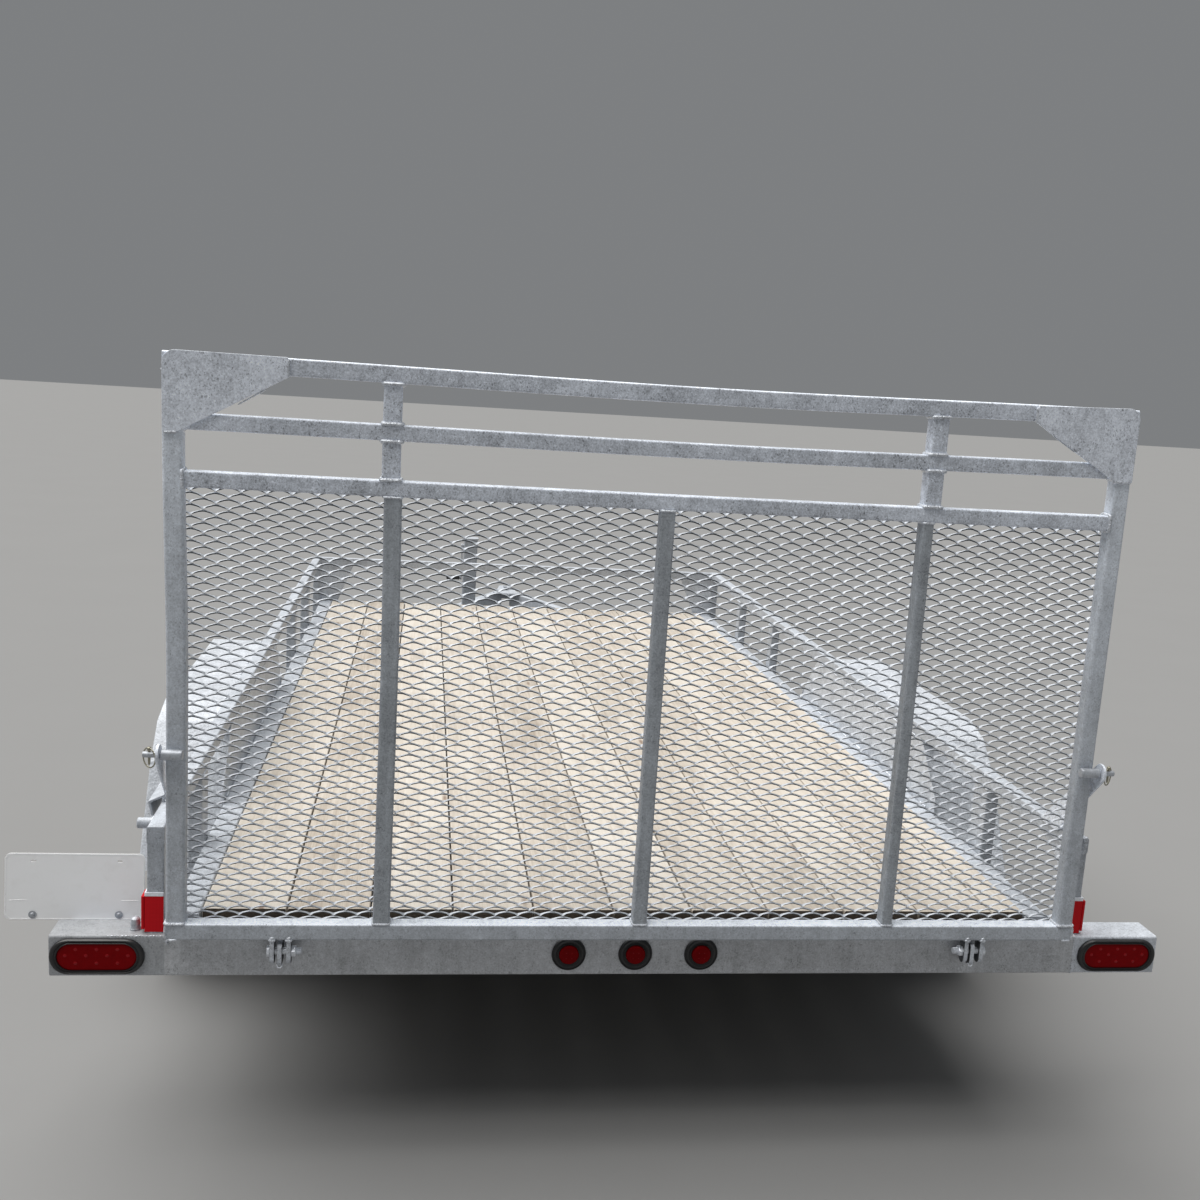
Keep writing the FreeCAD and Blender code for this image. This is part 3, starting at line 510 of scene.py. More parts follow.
def bead(g, pts, r=3.2, closed=False, sides=7, pitch=4.2, mi=0):
    """Weld bead: a rippled, slightly uneven rope of metal along points."""
    q = resample(pts, 2.1, closed)
    ph = rnd.random() * 6.28
    n = len(q)
    wob = [rnd.uniform(-1, 1) for _ in range(n + 4)]
    q = [p + Vector((wob[i], wob[i + 1], wob[i + 2])) * (0.16 * r / 3.0) for i, p in enumerate(q)]

    def rad(i):
        k = 1.0
        if not closed:
            k = min(1.0, 0.45 + 0.55 * min(i, n - 1 - i) / 2.0)
        s = 0.5 + 0.5 * math.sin(2 * math.pi * i * 2.1 / pitch + ph + 0.7 * wob[i + 3])
        return r * k * (0.86 + 0.17 * s + 0.07 * wob[i])
    sweep(g, q, rad, sides, closed, mi)


def loop_bead(g, axis, a, c1, c2, w, h, r=3.0):
    """Bead all round a tube of section w x h that meets a face at a along the axis."""
    pts = [place(axis, a, c1 + p, c2 + q) for p, q in rrect(w, h, 5.0, 2)]
    bead(g, pts, r, closed=True)


def hexnut(g, axis, centre, af, height, washer=0.0, sign=1, stud=0.0, mi=0, turn=0.0):
    """Hexagon with a chamfered top, an optional washer under it and stud past it, along sign * axis from centre."""
    c = Vector(centre)
    d = {"x": Vector((1, 0, 0)), "y": Vector((0, 1, 0)), "z": Vector((0, 0, 1))}[axis] * sign
    base = c
    if washer:
        prof = [(0.0, 0.0), (0.0, washer), (1.6, washer), (2.2, washer - 0.8), (2.2, 0.0)]
        lathe(g, axis, tuple(base), [(a * sign, r) for a, r in prof], 20, mi)
        base = c + d * 2.0
    R = af / math.sqrt(3)
    u = d.orthogonal().normalized()
    w = d.cross(u)
    rings = []
    for a, k in ((0.0, 1.0), (height * 0.8, 1.0), (height, 0.86)):
        rings.append([tuple(base + d * a + (u * math.cos(t) + w * math.sin(t)) * R * k) for t in [turn + math.pi / 3 * i for i in range(6)]])
    loft(g, rings, mi=mi)
    if stud:
        r = af * 0.29
        lathe(g, axis, tuple(base), [(height * 0.7 * sign, 0.0), (height * 0.7 * sign, r), ((height + stud - 1.2) * sign, r), ((height + stud) * sign, r - 1.0), ((height + stud) * sign, 0.0)], 14, mi)


def pan_head(g, axis, centre, r, h, sign=1, mi=0):
    prof = [(0.0, 0.0), (0.0, r), (h * 0.35, r), (h * 0.7, r * 0.86), (h, r * 0.5), (h * 1.04, 0.0)]
    lathe(g, axis, centre, [(a * sign, q) for a, q in prof], 14, mi)


def finish_mesh(me, bevel=0.0, segs=2, angle=28.0, sharp=42.0, weld=3e-6):
    bm = bmesh.new()
    bm.from_mesh(me)
    bmesh.ops.remove_doubles(bm, verts=bm.verts, dist=weld)
    bmesh.ops.dissolve_degenerate(bm, edges=bm.edges, dist=1e-7)
    bmesh.ops.recalc_face_normals(bm, faces=bm.faces)
    if bevel:
        lim = math.radians(angle)
        es = [e for e in bm.edges if len(e.link_faces) == 2 and e.calc_face_angle(0.0) > lim]
        bmesh.ops.bevel(bm, geom=es, offset=bevel / 1000.0, offset_type="OFFSET", segments=segs, profile=0.5, affect="EDGES", clamp_overlap=True)
    lim = math.radians(sharp)
    for f in bm.faces:
        f.smooth = True
    for e in bm.edges:
        e.smooth = not (len(e.link_faces) == 2 and e.calc_face_angle(0.0) > lim)
    bm.to_mesh(me)
    bm.free()


def piece(g, name, mats, body, replaces=(), bevel=0.0, segs=2, angle=28.0, sharp=42.0, weighted=True, raw=False, attr=None):
    me = bpy.data.meshes.new(name)
    me.from_pydata([W(p) for p in g.v], [], g.f)
    mats = [mats] if isinstance(mats, str) else mats
    for m in mats:
        me.materials.append(MATS[m])
    if len(mats) > 1:
        me.polygons.foreach_set("material_index", g.m)
    if raw:
        me.polygons.foreach_set("use_smooth", [True] * len(me.polygons))
        me.update()
    else:
        finish_mesh(me, bevel, segs, angle, sharp)
    return link(me, name, mats, body, replaces, weighted)


def link(me, name, mats, body, replaces=(), weighted=True):
    o = bpy.data.objects.new(name, me)
    bpy.context.scene.collection.objects.link(o)
    if weighted:
        w = o.modifiers.new("weighted", "WEIGHTED_NORMAL")
        w.keep_sharp = True
        w.weight = 50
    mats = [mats] if isinstance(mats, str) else mats
    if replaces:
        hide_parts(*replaces)
    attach(o, body)
    return o


def cad(nodes, name, mat, body, bevel=1.2, segs=2, angle=28.0, sharp=42.0, weld=2e-5):
    """Copy of CAD nodes with flat faces merged and their edges eased."""
    bm = bmesh.new()
    for node in nodes:
        bm.from_mesh(NODES[node].data)
    bmesh.ops.remove_doubles(bm, verts=bm.verts, dist=weld)
    bmesh.ops.dissolve_limit(bm, angle_limit=math.radians(0.6), verts=bm.verts, edges=bm.edges)
    me = bpy.data.meshes.new(name)
    bm.to_mesh(me)
    bm.free()
    me.materials.clear()
    me.materials.append(MATS[mat])
    for p in me.polygons:
        p.material_index = 0
    finish_mesh(me, bevel, segs, angle, sharp)
    return link(me, name, mat, body, tuple(nodes))


make_materials()

# ------------------------------------------------------------------ gate frame
GX = 1040.5           # outer faces of the gate's posts
GY0, GY1 = -51.0, -13.0
POST = 38.0
BARS = {"bottom": (104.5, 141.5), "third": (1085.5, 1119.5), "second": (1202.0, 1236.0), "top": (1320.5, 1356.8)}
LONGS = [(-582.0, 37.0), (-3.5, 32.0), (579.5, 26.0)]
SHORTS = [-587.0, 585.0]
GYC = (GY0 + GY1) / 2


def rack(g):
    """The gate is out of true: its left half leans out by up to 10 mm at the head, and the upper bars sag by up to 8 mm."""
    out = []
    for x, y, z in g.v:
        t = min(1.0, max(0.0, (z - 650.0) / 590.0))
        w = 1050.0 if x < 90.0 else 905.0
        c = math.cos(min(1.0, abs(x - 90.0) / w) * math.pi / 2.0) ** 2
        a = 7.7 * min(1.0, max(0.0, (z - 1070.0) / 250.0))
        out.append((x + (10.0 * t * t * (3.0 - 2.0 * t) * x / 1040.0 if x < 0 else 0.0), y, z - a * c))
    g.v = out
    return g


def build_gate():
    g, low = Geo(), Geo()
    for name, (z0, z1) in BARS.items():
        if name in ("bottom", "top"):
            tube_box(low if name == "bottom" else g, "x", -GX, GX, GY0, GY1, z0, z1, cuts=26)
        else:
            tube_box(g, "x", -GX + POST - 1.5, GX - POST + 1.5, GY0 + 0.4, GY1 - 0.4, z0, z1, cuts=26)
    piece(rack(low), "gate_foot_tube", "galv_gate", "gate", ["gate_bars"])
    piece(rack(g), "gate_cross_tubes", "galv_bar", "gate", ["gate_bars"])
    g = Geo()
    for s in (-1, 1):
        x0, x1 = sorted((s * GX, s * (GX - (POST if s > 0 else 40.6))))
        tube_box(g, "z", x0, x1, GY0, GY1, BARS["bottom"][1] - 3, BARS["top"][0] + 3, r=7.0, seg=4, cuts=20)
    piece(rack(g), "gate_side_posts", "galv_gate", "gate", ["gate_posts"])
    g = Geo()
    for xc, w in LONGS:
        tube_box(g, "z", xc - w / 2, xc + w / 2, GY0 + 0.6, GY1 - 0.6, BARS["bottom"][1] - 3, BARS["third"][0] + 3, r=4.5, cuts=16)
    piece(rack(g), "gate_upright_tubes", "galv_upright", "gate", ["gate_uprights"])
    g = Geo()
    for xc in SHORTS:
        for a, b in (("third", "second"), ("second", "top")):
            tube_box(g, "z", xc - 19, xc + 19, GY0 + 0.3, GY1 - 0.3, BARS[a][1] - 3, BARS[b][0] + 3)
    piece(rack(g), "gate_short_tubes", "galv_bar", "gate", ["gate_uprights"])

    # welds at each joint
    g = Geo()
    for xc, w in LONGS:
        for z in (BARS["bottom"][1], BARS["third"][0]):
            loop_bead(g, "z", z + (1.0 if z < 500 else -1.0), xc, GYC, w + 1.0, 37.4, 2.9)
    for xc in SHORTS:
        for a, b in (("third", "second"), ("second", "top")):
            loop_bead(g, "z", BARS[a][1] + 1.2, xc, GYC, 39.8, 39.0, 4.9)
            loop_bead(g, "z", BARS[b][0] - 1.2, xc, GYC, 39.8, 39.0, 4.9)
    for s in (-1, 1):
        xi = s * (GX - POST)
        xm = s * (GX - POST / 2)
        for name in ("third", "second"):
            z0, z1 = BARS[name]
            loop_bead(g, "x", xi - s * 1.0, GYC, (z0 + z1) / 2, 38.4, z1 - z0 + 1.8, 4.6)
        loop_bead(g, "z", BARS["bottom"][1] + 1.0, xm, GYC, 39.4, 38.6, 3.8)
        zf0, zf1 = BARS["bottom"]
        bead(g, [(s * (GX - 1), GY0 + 0.8, zf0 + 3), (s * (GX + 0.5), GY0 + 0.4, (zf0 + zf1) / 2), (s * (GX - 0.5), GY0 + 0.8, zf1 - 2)], 3.2)
        bead(g, [(s * (GX - 3), GY0 + 0.6, zf0 + 1.5), (s * (GX - 13), GY0 + 0.4, zf0 + 0.5), (s * (GX - 24), GY0 + 1.2, zf0 + 1.0)], 2.8)
        loop_bead(g, "z", BARS["top"][0] - 1.0, xm, GYC, 39.0, 38.4, 2.8)
    # mesh tacks: short runs along the frame on the mesh's edges, seen from the front
    for xc in [-930 + 124 * k for k in range(16)]:
        bead(g, [(xc, -9.0, 126.0), (xc + 16, -9.0, 126.5)], 3.0)
        bead(g, [(xc + 30, -9.0, 1098.0), (xc + 46, -9.0, 1097.5)], 3.0)
    for s in (-1, 1):
        for z in [210 + 112 * k for k in range(8)]:
            bead(g, [(s * 1018, -9.0, z), (s * 1018.5, -9.0, z + 16)], 3.0)
    for xc, w in LONGS:
        for z in [240 + 140 * k for k in range(6)]:
            bead(g, [(xc, -9.5, z), (xc + 1, -9.5, z + 14)], 2.8)
    piece(rack(g), "gate_weld_beads", "galv_weld", "gate", weighted=False)

    # corner plates with a rounded outer corner, welded along their inner edges
    g = Geo()
    gb = Geo()
    for s, xo, xi, xc, dz in ((-1, 1039.6, 796.5, 1006.3, 1.3), (1, 1040.6, 801.0, 994.0, 4.9)):
        R = 26.0
        out = []
        zt, zb = 1359.5, 1196.0
        for i in range(9):
            a = math.radians(90.0 * i / 8)
            out.append((xo - R + R * math.sin(a), zt - R + R * math.cos(a)))
        pts = [(xi, zt - dz)] + out + [(xo - 1.0, zb), (xc, zb + 3), (xi, 1317.0)]
        slab(g, "y", [(s * x, z) for x, z in pts], GY0 - 5.0, GY0 + 0.5)
        yb = GY0 - 1.6
        bead(gb, [(s * (xi + 2), yb, zt - dz - 3.4), (s * (xo - R), yb, zt - 3.4)], 2.6)
        bead(gb, [(s * (xo - 2.4 - R + R * math.sin(math.radians(t))), yb, zt - 2.8 - R + R * math.cos(math.radians(t))) for t in (5, 35, 65, 90)], 2.2)
        bead(gb, [(s * (xi - 1), yb, zt - dz - 3), (s * (xi - 1), yb, 1318.0)], 4.0)
        bead(gb, [(s * (xc + 2), yb, zb + 1.0), (s * (xo - 3), yb, zb - 0.5)], 4.8)
        bead(gb, [(s * (xi + 42), yb, 1291.0), (s * (xi + 96), yb, 1258.0)], 1.9)
    piece(rack(g), "gate_corner_gussets", "galv_plate", "gate", ["gate_corner_plates"], bevel=1.1)
    piece(rack(gb), "gate_gusset_beads", "galv_weld", "gate", weighted=False)


# ------------------------------------------------------------------ expanded mesh of the gate
LWD, SWD = 51.1, 25.14
MX0, MZ0 = 3.0, 7.0
BOND_H = 9.6


def mesh_panel(name, ma, mb, replace):
    """Strands between bond columns ma and mb: each row is a zigzag ribbon whose bonds touch the rows above and below.
    A strand's upper edge runs straight from bond to bond and its lower edge is arched; its underside carries painted
    shade."""
    g = Geo()
    za, zb = 116.0, 1106.0
    half = SWD / 2
    rise = half - BOND_H / 2
    yc = -9.6
    xs = []
    stations = (0.0, 0.14, 0.30, 0.50, 0.70, 0.86)
    k0, k1 = int(math.floor((za - MZ0) / half)), int(math.ceil((zb - MZ0) / half))
    for k in range(k0, k1):
        zv = MZ0 + k * half
        if zv < za - 1 or zv + half > zb + 1:
            continue
        rings, falls = [], []
        for m in range(ma, mb + 1):
            up = (m + k) % 2 == 0
            for t in stations if m < mb else (0.0,):
                s_ = t if up else 1.0 - t
                x = MX0 + (m + t) * LWD / 2
                top = zv + BOND_H / 2 + rise * s_ + 0.35 * math.sin(math.pi * s_)
                bot = zv + rise * (1.0 - (1.0 - s_) ** 1.55)
                jit = 0.16 * math.sin((m + t) * 12.9898 + k * 78.233)
                top, bot = top + jit, bot + jit
                y = yc + 1.1 * math.cos(math.pi * s_)
                fade = min(1.0, max(0.0, (s_ - 0.04) / 0.26))
                mid = bot + 0.05 + min(2.8, 0.78 * (top - bot)) * fade
                rings.append([(x, y + 2.4, top), (x, y - 2.2, mid), (x, y + 0.2, bot), (x, y + 2.5, mid - 0.2)])
                falls.append(not up)
        n = 4
        faces, mats = [], []
        for j in range(len(rings) - 1):
            for i in range(n):
                i2 = (i + 1) % n
                faces.append((j * n + i, j * n + i2, (j + 1) * n + i2, (j + 1) * n + i))
                # painted shade: underside faces take the near-black zinc and falling strands the darker copy; rising
                # strands keep the lighter one
                mats.append(2 if i in (1, 2) else (1 if falls[j] else 0))
        last = (len(rings) - 1) * n
        faces += [(3, 2, 1, 0), (last, last + 1, last + 2, last + 3)]
        mats += [2, 2]
        base = len(g.v)
        g.v += [p for r in rings for p in r]
        g.f += [tuple(base + i for i in f) for f in faces]
        g.m += mats
    return piece(rack(g), name, ["galv_mesh", "galv_mesh_shaded", "galv_mesh_underside_shade"], "gate", replace, weighted=False, sharp=50.0)


# ------------------------------------------------------------------ hinges and latches
HINGES = [(-799.0, -16.6, 19.5, 1), (797.5, -15.1, 22.6, -1)]


def build_hinges():
    HY, HZ = -34.0, 73.0
    gl, bl, bb, sp = Geo(), Geo(), Geo(), Geo()
    wd, wd2 = Geo(), Geo()
    for xc, left, right, side in HINGES:
        for d in (left, right):
            out = []
            for i in range(13):
                a = math.pi + math.pi * i / 12
                out.append((HY + 15 * math.cos(a), HZ - 13 + 15 * math.sin(a)))
            out += [(HY + 15, 105.5), (HY - 15, 105.5)]
            slab(gl, "x", out, xc + d - 5, xc + d + 5)
            # blob and fillets where the lug meets the gate's foot
            bead(wd, [(xc + d - 7, HY - 15.5, 104.5), (xc + d + 7, HY - 15.5, 104.0)], 4.6)
            bead(wd, [(xc + d - 5, HY - 16.2, 109.0), (xc + d + 4, HY - 16.2, 110.5)], 3.6)
            for e in (-1, 1):
                bead(wd, [(xc + d + e * 6, HY - 14, 103.5), (xc + d + e * 6, HY + 12, 103.5)], 2.6)
        out = [(0.5, HZ - 31), (0.5, HZ + 21), (HY - 6, HZ + 21)]
        for i in range(7):
            a = math.pi / 2 + math.pi / 2 * i / 6
            out.append((HY - 6 + 10 * math.cos(a), HZ + 11 + 10 * math.sin(a)))
        for i in range(7):
            a = math.pi + math.pi / 2 * i / 6
            out.append((HY - 4 + 12 * math.cos(a), HZ - 19 + 12 * math.sin(a)))
        slab(bl, "x", out[::-1], xc - 5, xc + 5)
        for e in (-1, 1):
            bead(wd2, [(xc + e * 6.0, -1.2, HZ - 30), (xc + e * 6.0, -1.2, HZ + 20)], 2.7)
        bead(wd2, [(xc - 6, -2.0, HZ + 21.5), (xc + 6, -2.0, HZ + 21.0)], 3.2)
        # bolt: a flat round head outside one lug, a nut and thread end outside the other
        x0, x1 = xc + left - 5.0, xc + right + 5.0
        head, tail = (x0, x1) if side > 0 else (x1, x0)
        prof = [(-7.0, 0.0), (-7.0, 11.6), (-5.8, 13.0), (-0.9, 13.0), (-0.1, 12.2), (-0.1, 8.0), (x1 - x0 + 0.1, 8.0)]
        end = x1 - x0
        prof += [(end + 0.1, 8.0)]
        for i in range(8):
            prof += [(end + 10.1 + i * 1.4, 7.4), (end + 10.8 + i * 1.4, 7.9)]
        prof += [(end + 22.0, 6.6), (end + 22.0, 0.0)]
        lathe(bb, "x", (head, HY, HZ), [(side * a, r) for a, r in prof], 24)
        hexnut(bb, "x", (tail, HY, HZ), 22.0, 10.0, 0.0, side, 0.0)
        # bent wire under the beam's lug
        xs, zt = xc + 0.5 * side, HZ - 29.0
        sweep(sp, [(xs - 6, HY - 12, zt + 3), (xs - 4, HY - 13, zt - 3), (xs + 1, HY - 13, zt - 5), (xs + 5, HY - 12, zt - 2), (xs + 6, HY - 10, zt + 4)], 1.5, 7)
    piece(gl, "gate_hinge_eyes", "galv_lug", "gate", ["gate_hinge_lugs"], bevel=1.0)
    piece(bb, "gate_hinge_pins", "zinc_bright", "gate", ["gate_hinge_bolts"], bevel=0.0)
    piece(sp, "hinge_wire_clips", "zinc_bright", "trailer")
    piece(wd, "gate_hinge_beads", "galv_weld", "gate", weighted=False)
    piece(bl, "beam_hinge_eyes", "galv_lug", "trailer", ["beam_hinge_lugs"], bevel=1.0)
    piece(wd2, "beam_hinge_beads", "galv_weld", "trailer", weighted=False)


def build_latches():
    LY, LZ = -64.0, 525.0
    gp, gn, gw, gy = Geo(), Geo(), Geo(), Geo()
    for s in (-1, 1):
        x0, x1 = 1049.2, 1054.8
        # bracket: a round head at the pin and a wide arm down to the rail's inner face
        out = []
        for i in range(15):
            a = math.radians(45 + 180 * i / 14)
            out.append((LY + 22 * math.cos(a), LZ + 22 * math.sin(a)))
        out += [(88.0, 337.0), (98.0, 327.0), (186.0, 327.0), (175.0, 337.0)]
        slab(gp, "x", out, s * x0, s * x1)
        bead(gw, [(s * 1053.5, 92, 333), (s * 1053.5, 98, 326), (s * 1053.5, 186, 326)], 2.6)
        bead(gw, [(s * 1056.0, 90, 338.5), (s * 1056.5, 174, 338.5)], 3.8)
        # pin: a barrel across the gate's post, then a thin stub through the bracket
        prof = [(1002.0, 0.0), (1002.0, 9.2), (1003.2, 10.8), (1005.4, 11.4), (1044.6, 11.4), (1046.0, 10.4), (1046.0, 6.5), (1082.0, 6.5), (1084.0, 4.8), (1084.0, 0.0)]
        lathe(gn, "x", (0, LY, LZ), [(s * a, r) for a, r in prof], 28)
        # cross pin through the stub, with a spring ring from its head round the stub
        xr = 1070.5
        lathe(gy, "z", (s * xr, LY, 0.0), [(LZ - 23.0, 0.0), (LZ - 22.0, 1.8), (LZ - 18.0, 2.6), (LZ + 8.0, 2.6), (LZ + 9.0, 4.2), (LZ + 15.0, 4.2), (LZ + 16.5, 2.4), (LZ + 16.5, 0.0)], 16)
        ring = []
        for i in range(40):
            a = 2 * math.pi * i / 40
            h = 20.0 * math.cos(a)
            ring.append((s * (xr + h * math.sin(math.radians(48))), LY + h * math.cos(math.radians(48)), LZ - 7.0 + 20.8 * math.sin(a)))
        sweep(gy, ring, 1.5, 8, closed=True)
    piece(gp, "latch_arms", "galv_plate", "trailer", ["latch_brackets"], bevel=0.9)
    piece(gn, "latch_pull_pins", "zinc", "trailer", ["latch_pins"])
    piece(gy, "latch_spring_rings", "zinc_yellow", "trailer", ["latch_pins"])
    piece(gw, "latch_beads", "galv_weld", "trailer", weighted=False)


# ------------------------------------------------------------------ rear beam, lamps and plate
BW = 1295.0


def build_beam():
    g = Geo()
    tube_box(g, "x", -1052.0, 1080.0, 0.0, 88.0, -3.0, 93.0, r=6.0)
    piece(g, "rear_beam_tube", "galv_beam", "trailer", ["rear_beam"])
    for x0, x1, name, mat in ((-BW, -1050.5, "light_box_left", "galv_box_left"), (1078.5, BW, "light_box_right", "galv_box")):
        g = Geo()
        tube_box(g, "x", x0, x1, 0.3, 88.0, -3.0, 92.6, r=6.0, e=1.6, seg=4)
        piece(g, name, mat, "trailer")
    g = Geo()
    loop_bead(g, "x", 1079.2, 44.0, 45.0, 88.0, 96.0, 2.2)
    # run of weld up the right corner post's rear edge and the rail's end
    bead(g, [(1079, 14.5, 296), (1081, 14.3, 312), (1083, 14.3, 326), (1085, 15.0, 341)], 5.6)
    # lumps along the left box's rear top edge, thicker near the corner post
    for i in range(17):
        x = -1172.0 + 7.4 * i
        bead(g, [(x, 1.0, 91.2 + 0.7 * math.sin(i * 2.3)), (x + 3.0 + 1.6 * math.sin(i * 1.7), 1.2, 91.2)], 1.5 + 0.9 * (i / 16.0) + 0.7 * math.sin(i * 3.1) ** 2)
    bead(g, [(-1044, -0.2, 86.0), (-1047, -0.4, 78.0), (-1043, 0.0, 72.0)], 3.4)
    piece(g, "beam_seam_beads", "galv_weld", "trailer", weighted=False)

    zl = 45.0
    gr, le, led = Geo(), Geo(), Geo()
    for cx in (-1193.0, 1191.0):
        # rolled outer lip, a shallow groove, then the inner wall round the lens
        prof = [(16.0, 0.4), (16.3, -2.6), (15.4, -5.8), (13.0, -8.4), (9.6, -9.0), (6.8, -7.8), (5.4, -6.6), (3.8, -7.2), (1.8, -8.8), (0.4, -8.6), (-0.4, -5.4), (-0.4, 0.4)]
        loft(gr, [[(cx + p, y, zl + q) for p, q in stadium(169.0 + 1.97 * o, 62.6 + 1.16 * o, 14)] for o, y in prof], closed=True)
        # lens: domed edge and flat front
        rings = []
        for d, y in ((-0.5, -2.0), (-0.5, -4.6), (-1.6, -5.6), (-4.0, -6.0), (-12.0, -6.0)):
            rings.append([(cx + p, y, zl + q) for p, q in stadium(168.9 + 2 * d, 62.4 + 2 * d, 14)])
        loft(le, rings)
        # ten small domes in staggered rows
        for row, (zz, cnt, x0) in enumerate(((18.0, 3, -44.0), (3.5, 4, -66.0), (-14.0, 3, -44.0))):
            pitch = 44.0
            for i in range(cnt):
                lathe(led, "y", (cx + x0 + i * pitch, -5.6, zl + zz), [(0.0, 0.0), (0.0, 4.2), (-0.5, 3.8), (-0.9, 2.5), (-1.1, 1.0), (-1.12, 0.0)], 16)
    for k in (-1, 0, 1):
        cx, cz = k * 155.0, zl + 5
        prof = [(0.3, 23.4), (0.3, 38.6), (-2.0, 39.7), (-4.4, 39.2), (-5.6, 37.6), (-4.6, 36.4), (-4.9, 35.2), (-7.6, 33.0), (-8.0, 30.4), (-6.2, 28.2), (-6.0, 27.0), (-7.8, 25.2), (-7.2, 23.6), (-4.0, 23.0), (0.3, 23.4)]
        lathe(gr, "y", (cx, 0, cz), prof, 36)
        lathe(le, "y", (cx, 0, cz), [(-2.0, 0.0), (-2.0, 22.6), (-8.0, 22.6), (-10.6, 20.8), (-12.4, 16.5), (-13.0, 10.0), (-13.0, 0.0)], 32)
        for i in range(4):
            a = math.pi / 4 + i * math.pi / 2
            lathe(led, "y", (cx + 9.0 * math.cos(a), -12.7, cz + 9.0 * math.sin(a)), [(0.0, 0.0), (0.0, 1.7), (-0.4, 1.4), (-0.6, 0.7), (-0.65, 0.0)], 12)
    piece(gr, "lamp_grommets", "grommet", "trailer", ["light_grommets"])
    piece(le, "lamp_lenses", "lens_red", "trailer", ["light_lenses"])
    piece(led, "lamp_led_domes", "lens_led", "trailer")

    # reflectors round the corner posts, with a bright edge above
    rf, rz = Geo(), Geo()
    for s in (-1, 1):
        # rear face strip with a bright band above it, folded round the post's outer corner
        for g, z0, z1, y0 in ((rf, 95.0, 178.0, 13.0), (rz, 178.2, 187.0, 12.6)):
            slab(g, "z", [(s * x, y) for x, y in ((1056.0, 16.0), (1056.0, y0), (1095.0, y0), (1096.6, y0 + 1.2), (1096.6, 54.0), (1093.2, 54.0), (1093.2, 16.0))], z0, z1)
        # strip standing off the post's outer side
        slab(rf, "z", [(s * x, y) for x, y in ((1097.2, 17.0), (1097.2, 14.2), (1098.4, 13.0), (1102.4, 13.0), (1103.6, 14.2), (1103.6, 54.0), (1097.2, 54.0))], 101.0, 177.5)
    piece(rf, "corner_reflectors", "reflector_red", "trailer", ["reflectors"], bevel=0.5)
    piece(rz, "reflector_edges", "galv_band", "trailer", bevel=0.5)

    # number plate: blank, leaning back, with rounded corners, two slots at the top, two bolts low, short creases at both sides
    px0, pw, ph = -1427.0, 304.8, 152.4
    pz0, py = 70.0, 133.0
    cx = px0 + pw / 2

    def lean(g):
        g.v = [(x, y + 0.105 * (z - pz0 - 8.0), z) for x, y, z in g.v]
        return g

    plate = Geo()
    slab(plate, "y", [(cx + p, pz0 + ph / 2 + q) for p, q in rrect(pw, ph, 14.0, 7)], py, py + 1.5)
    ob = piece(plate, "number_plate_sheet", "plate_white", "trailer", ["number_plate"], bevel=0.35, segs=2)
    cut = Geo()
    for k in (-1, 1):
        slab(cut, "y", [(cx + 3.0 + k * 94.0 + p, pz0 + ph - 17.5 + q) for p, q in stadium(11.6, 5.0, 6)], py - 6, py + 8)
    boolean(ob, cut)
    for v in ob.data.vertices:
        v.co.y += 0.105 * (v.co.z * 1000.0 - OZ - pz0 - 8.0) / 1000.0
    rim = Geo()
    ring = [(cx + p, py + 0.2, pz0 + ph / 2 + q) for p, q in rrect(pw - 4.4, ph - 4.4, 12.0, 7)]
    sweep(rim, resample(ring, 12.0, True), 0.8, 6, closed=True)
    for a, b in ((0.03, 0.17), (0.83, 0.97)):
        zc = pz0 + ph * 0.29
        sweep(rim, [(px0 + pw * a, py + 0.3, zc), (px0 + pw * (a + b) / 2, py + 0.1, zc + 0.6), (px0 + pw * b, py + 0.4, zc)], 0.8, 6)
    piece(lean(rim), "number_plate_ridges", "plate_white", "trailer", weighted=False)
    g = Geo()
    tube_box(g, "x", px0 + 40, px0 + pw - 6, py + 1.7, py + 5.5, 70.0, 110.0, r=0.6, e=0.4, seg=1, cuts=8)
    lean(g)
    box(g, -BW + 20, px0 + pw - 6, 88.0, py + 5.5, 65.0, 70.0)
    piece(g, "plate_holder", "galv", "trailer", ["plate_bracket"], bevel=0.7)
    g = Geo()
    for k in (-1, 1):
        lathe(g, "y", (cx + 3.0 + k * 94.0, py, 82.0), [(0.0, 0.0), (0.0, 9.0), (-1.2, 9.0), (-1.5, 8.4), (-1.5, 5.6), (-2.6, 5.4), (-4.2, 3.8), (-4.8, 1.6), (-4.85, 0.0)], 20)
        hexnut(g, "y", (cx + 3.0 + k * 94.0, py + 5.5, 82.0), 10.0, 5.0, 0.0, 1, 5.0)
    # stub bolt standing on the beam's top, left
    lathe(g, "z", (-1120.0, 35.0, 92.0), [(0.0, 0.0), (0.0, 12.0), (3.0, 12.4), (5.0, 10.6), (9.0, 10.0), (13.0, 11.0), (17.0, 10.8), (21.0, 9.4), (25.0, 9.8), (28.0, 7.0), (29.0, 3.0), (29.0, 0.0)], 20)
    piece(g, "plate_bolts", "zinc", "trailer")


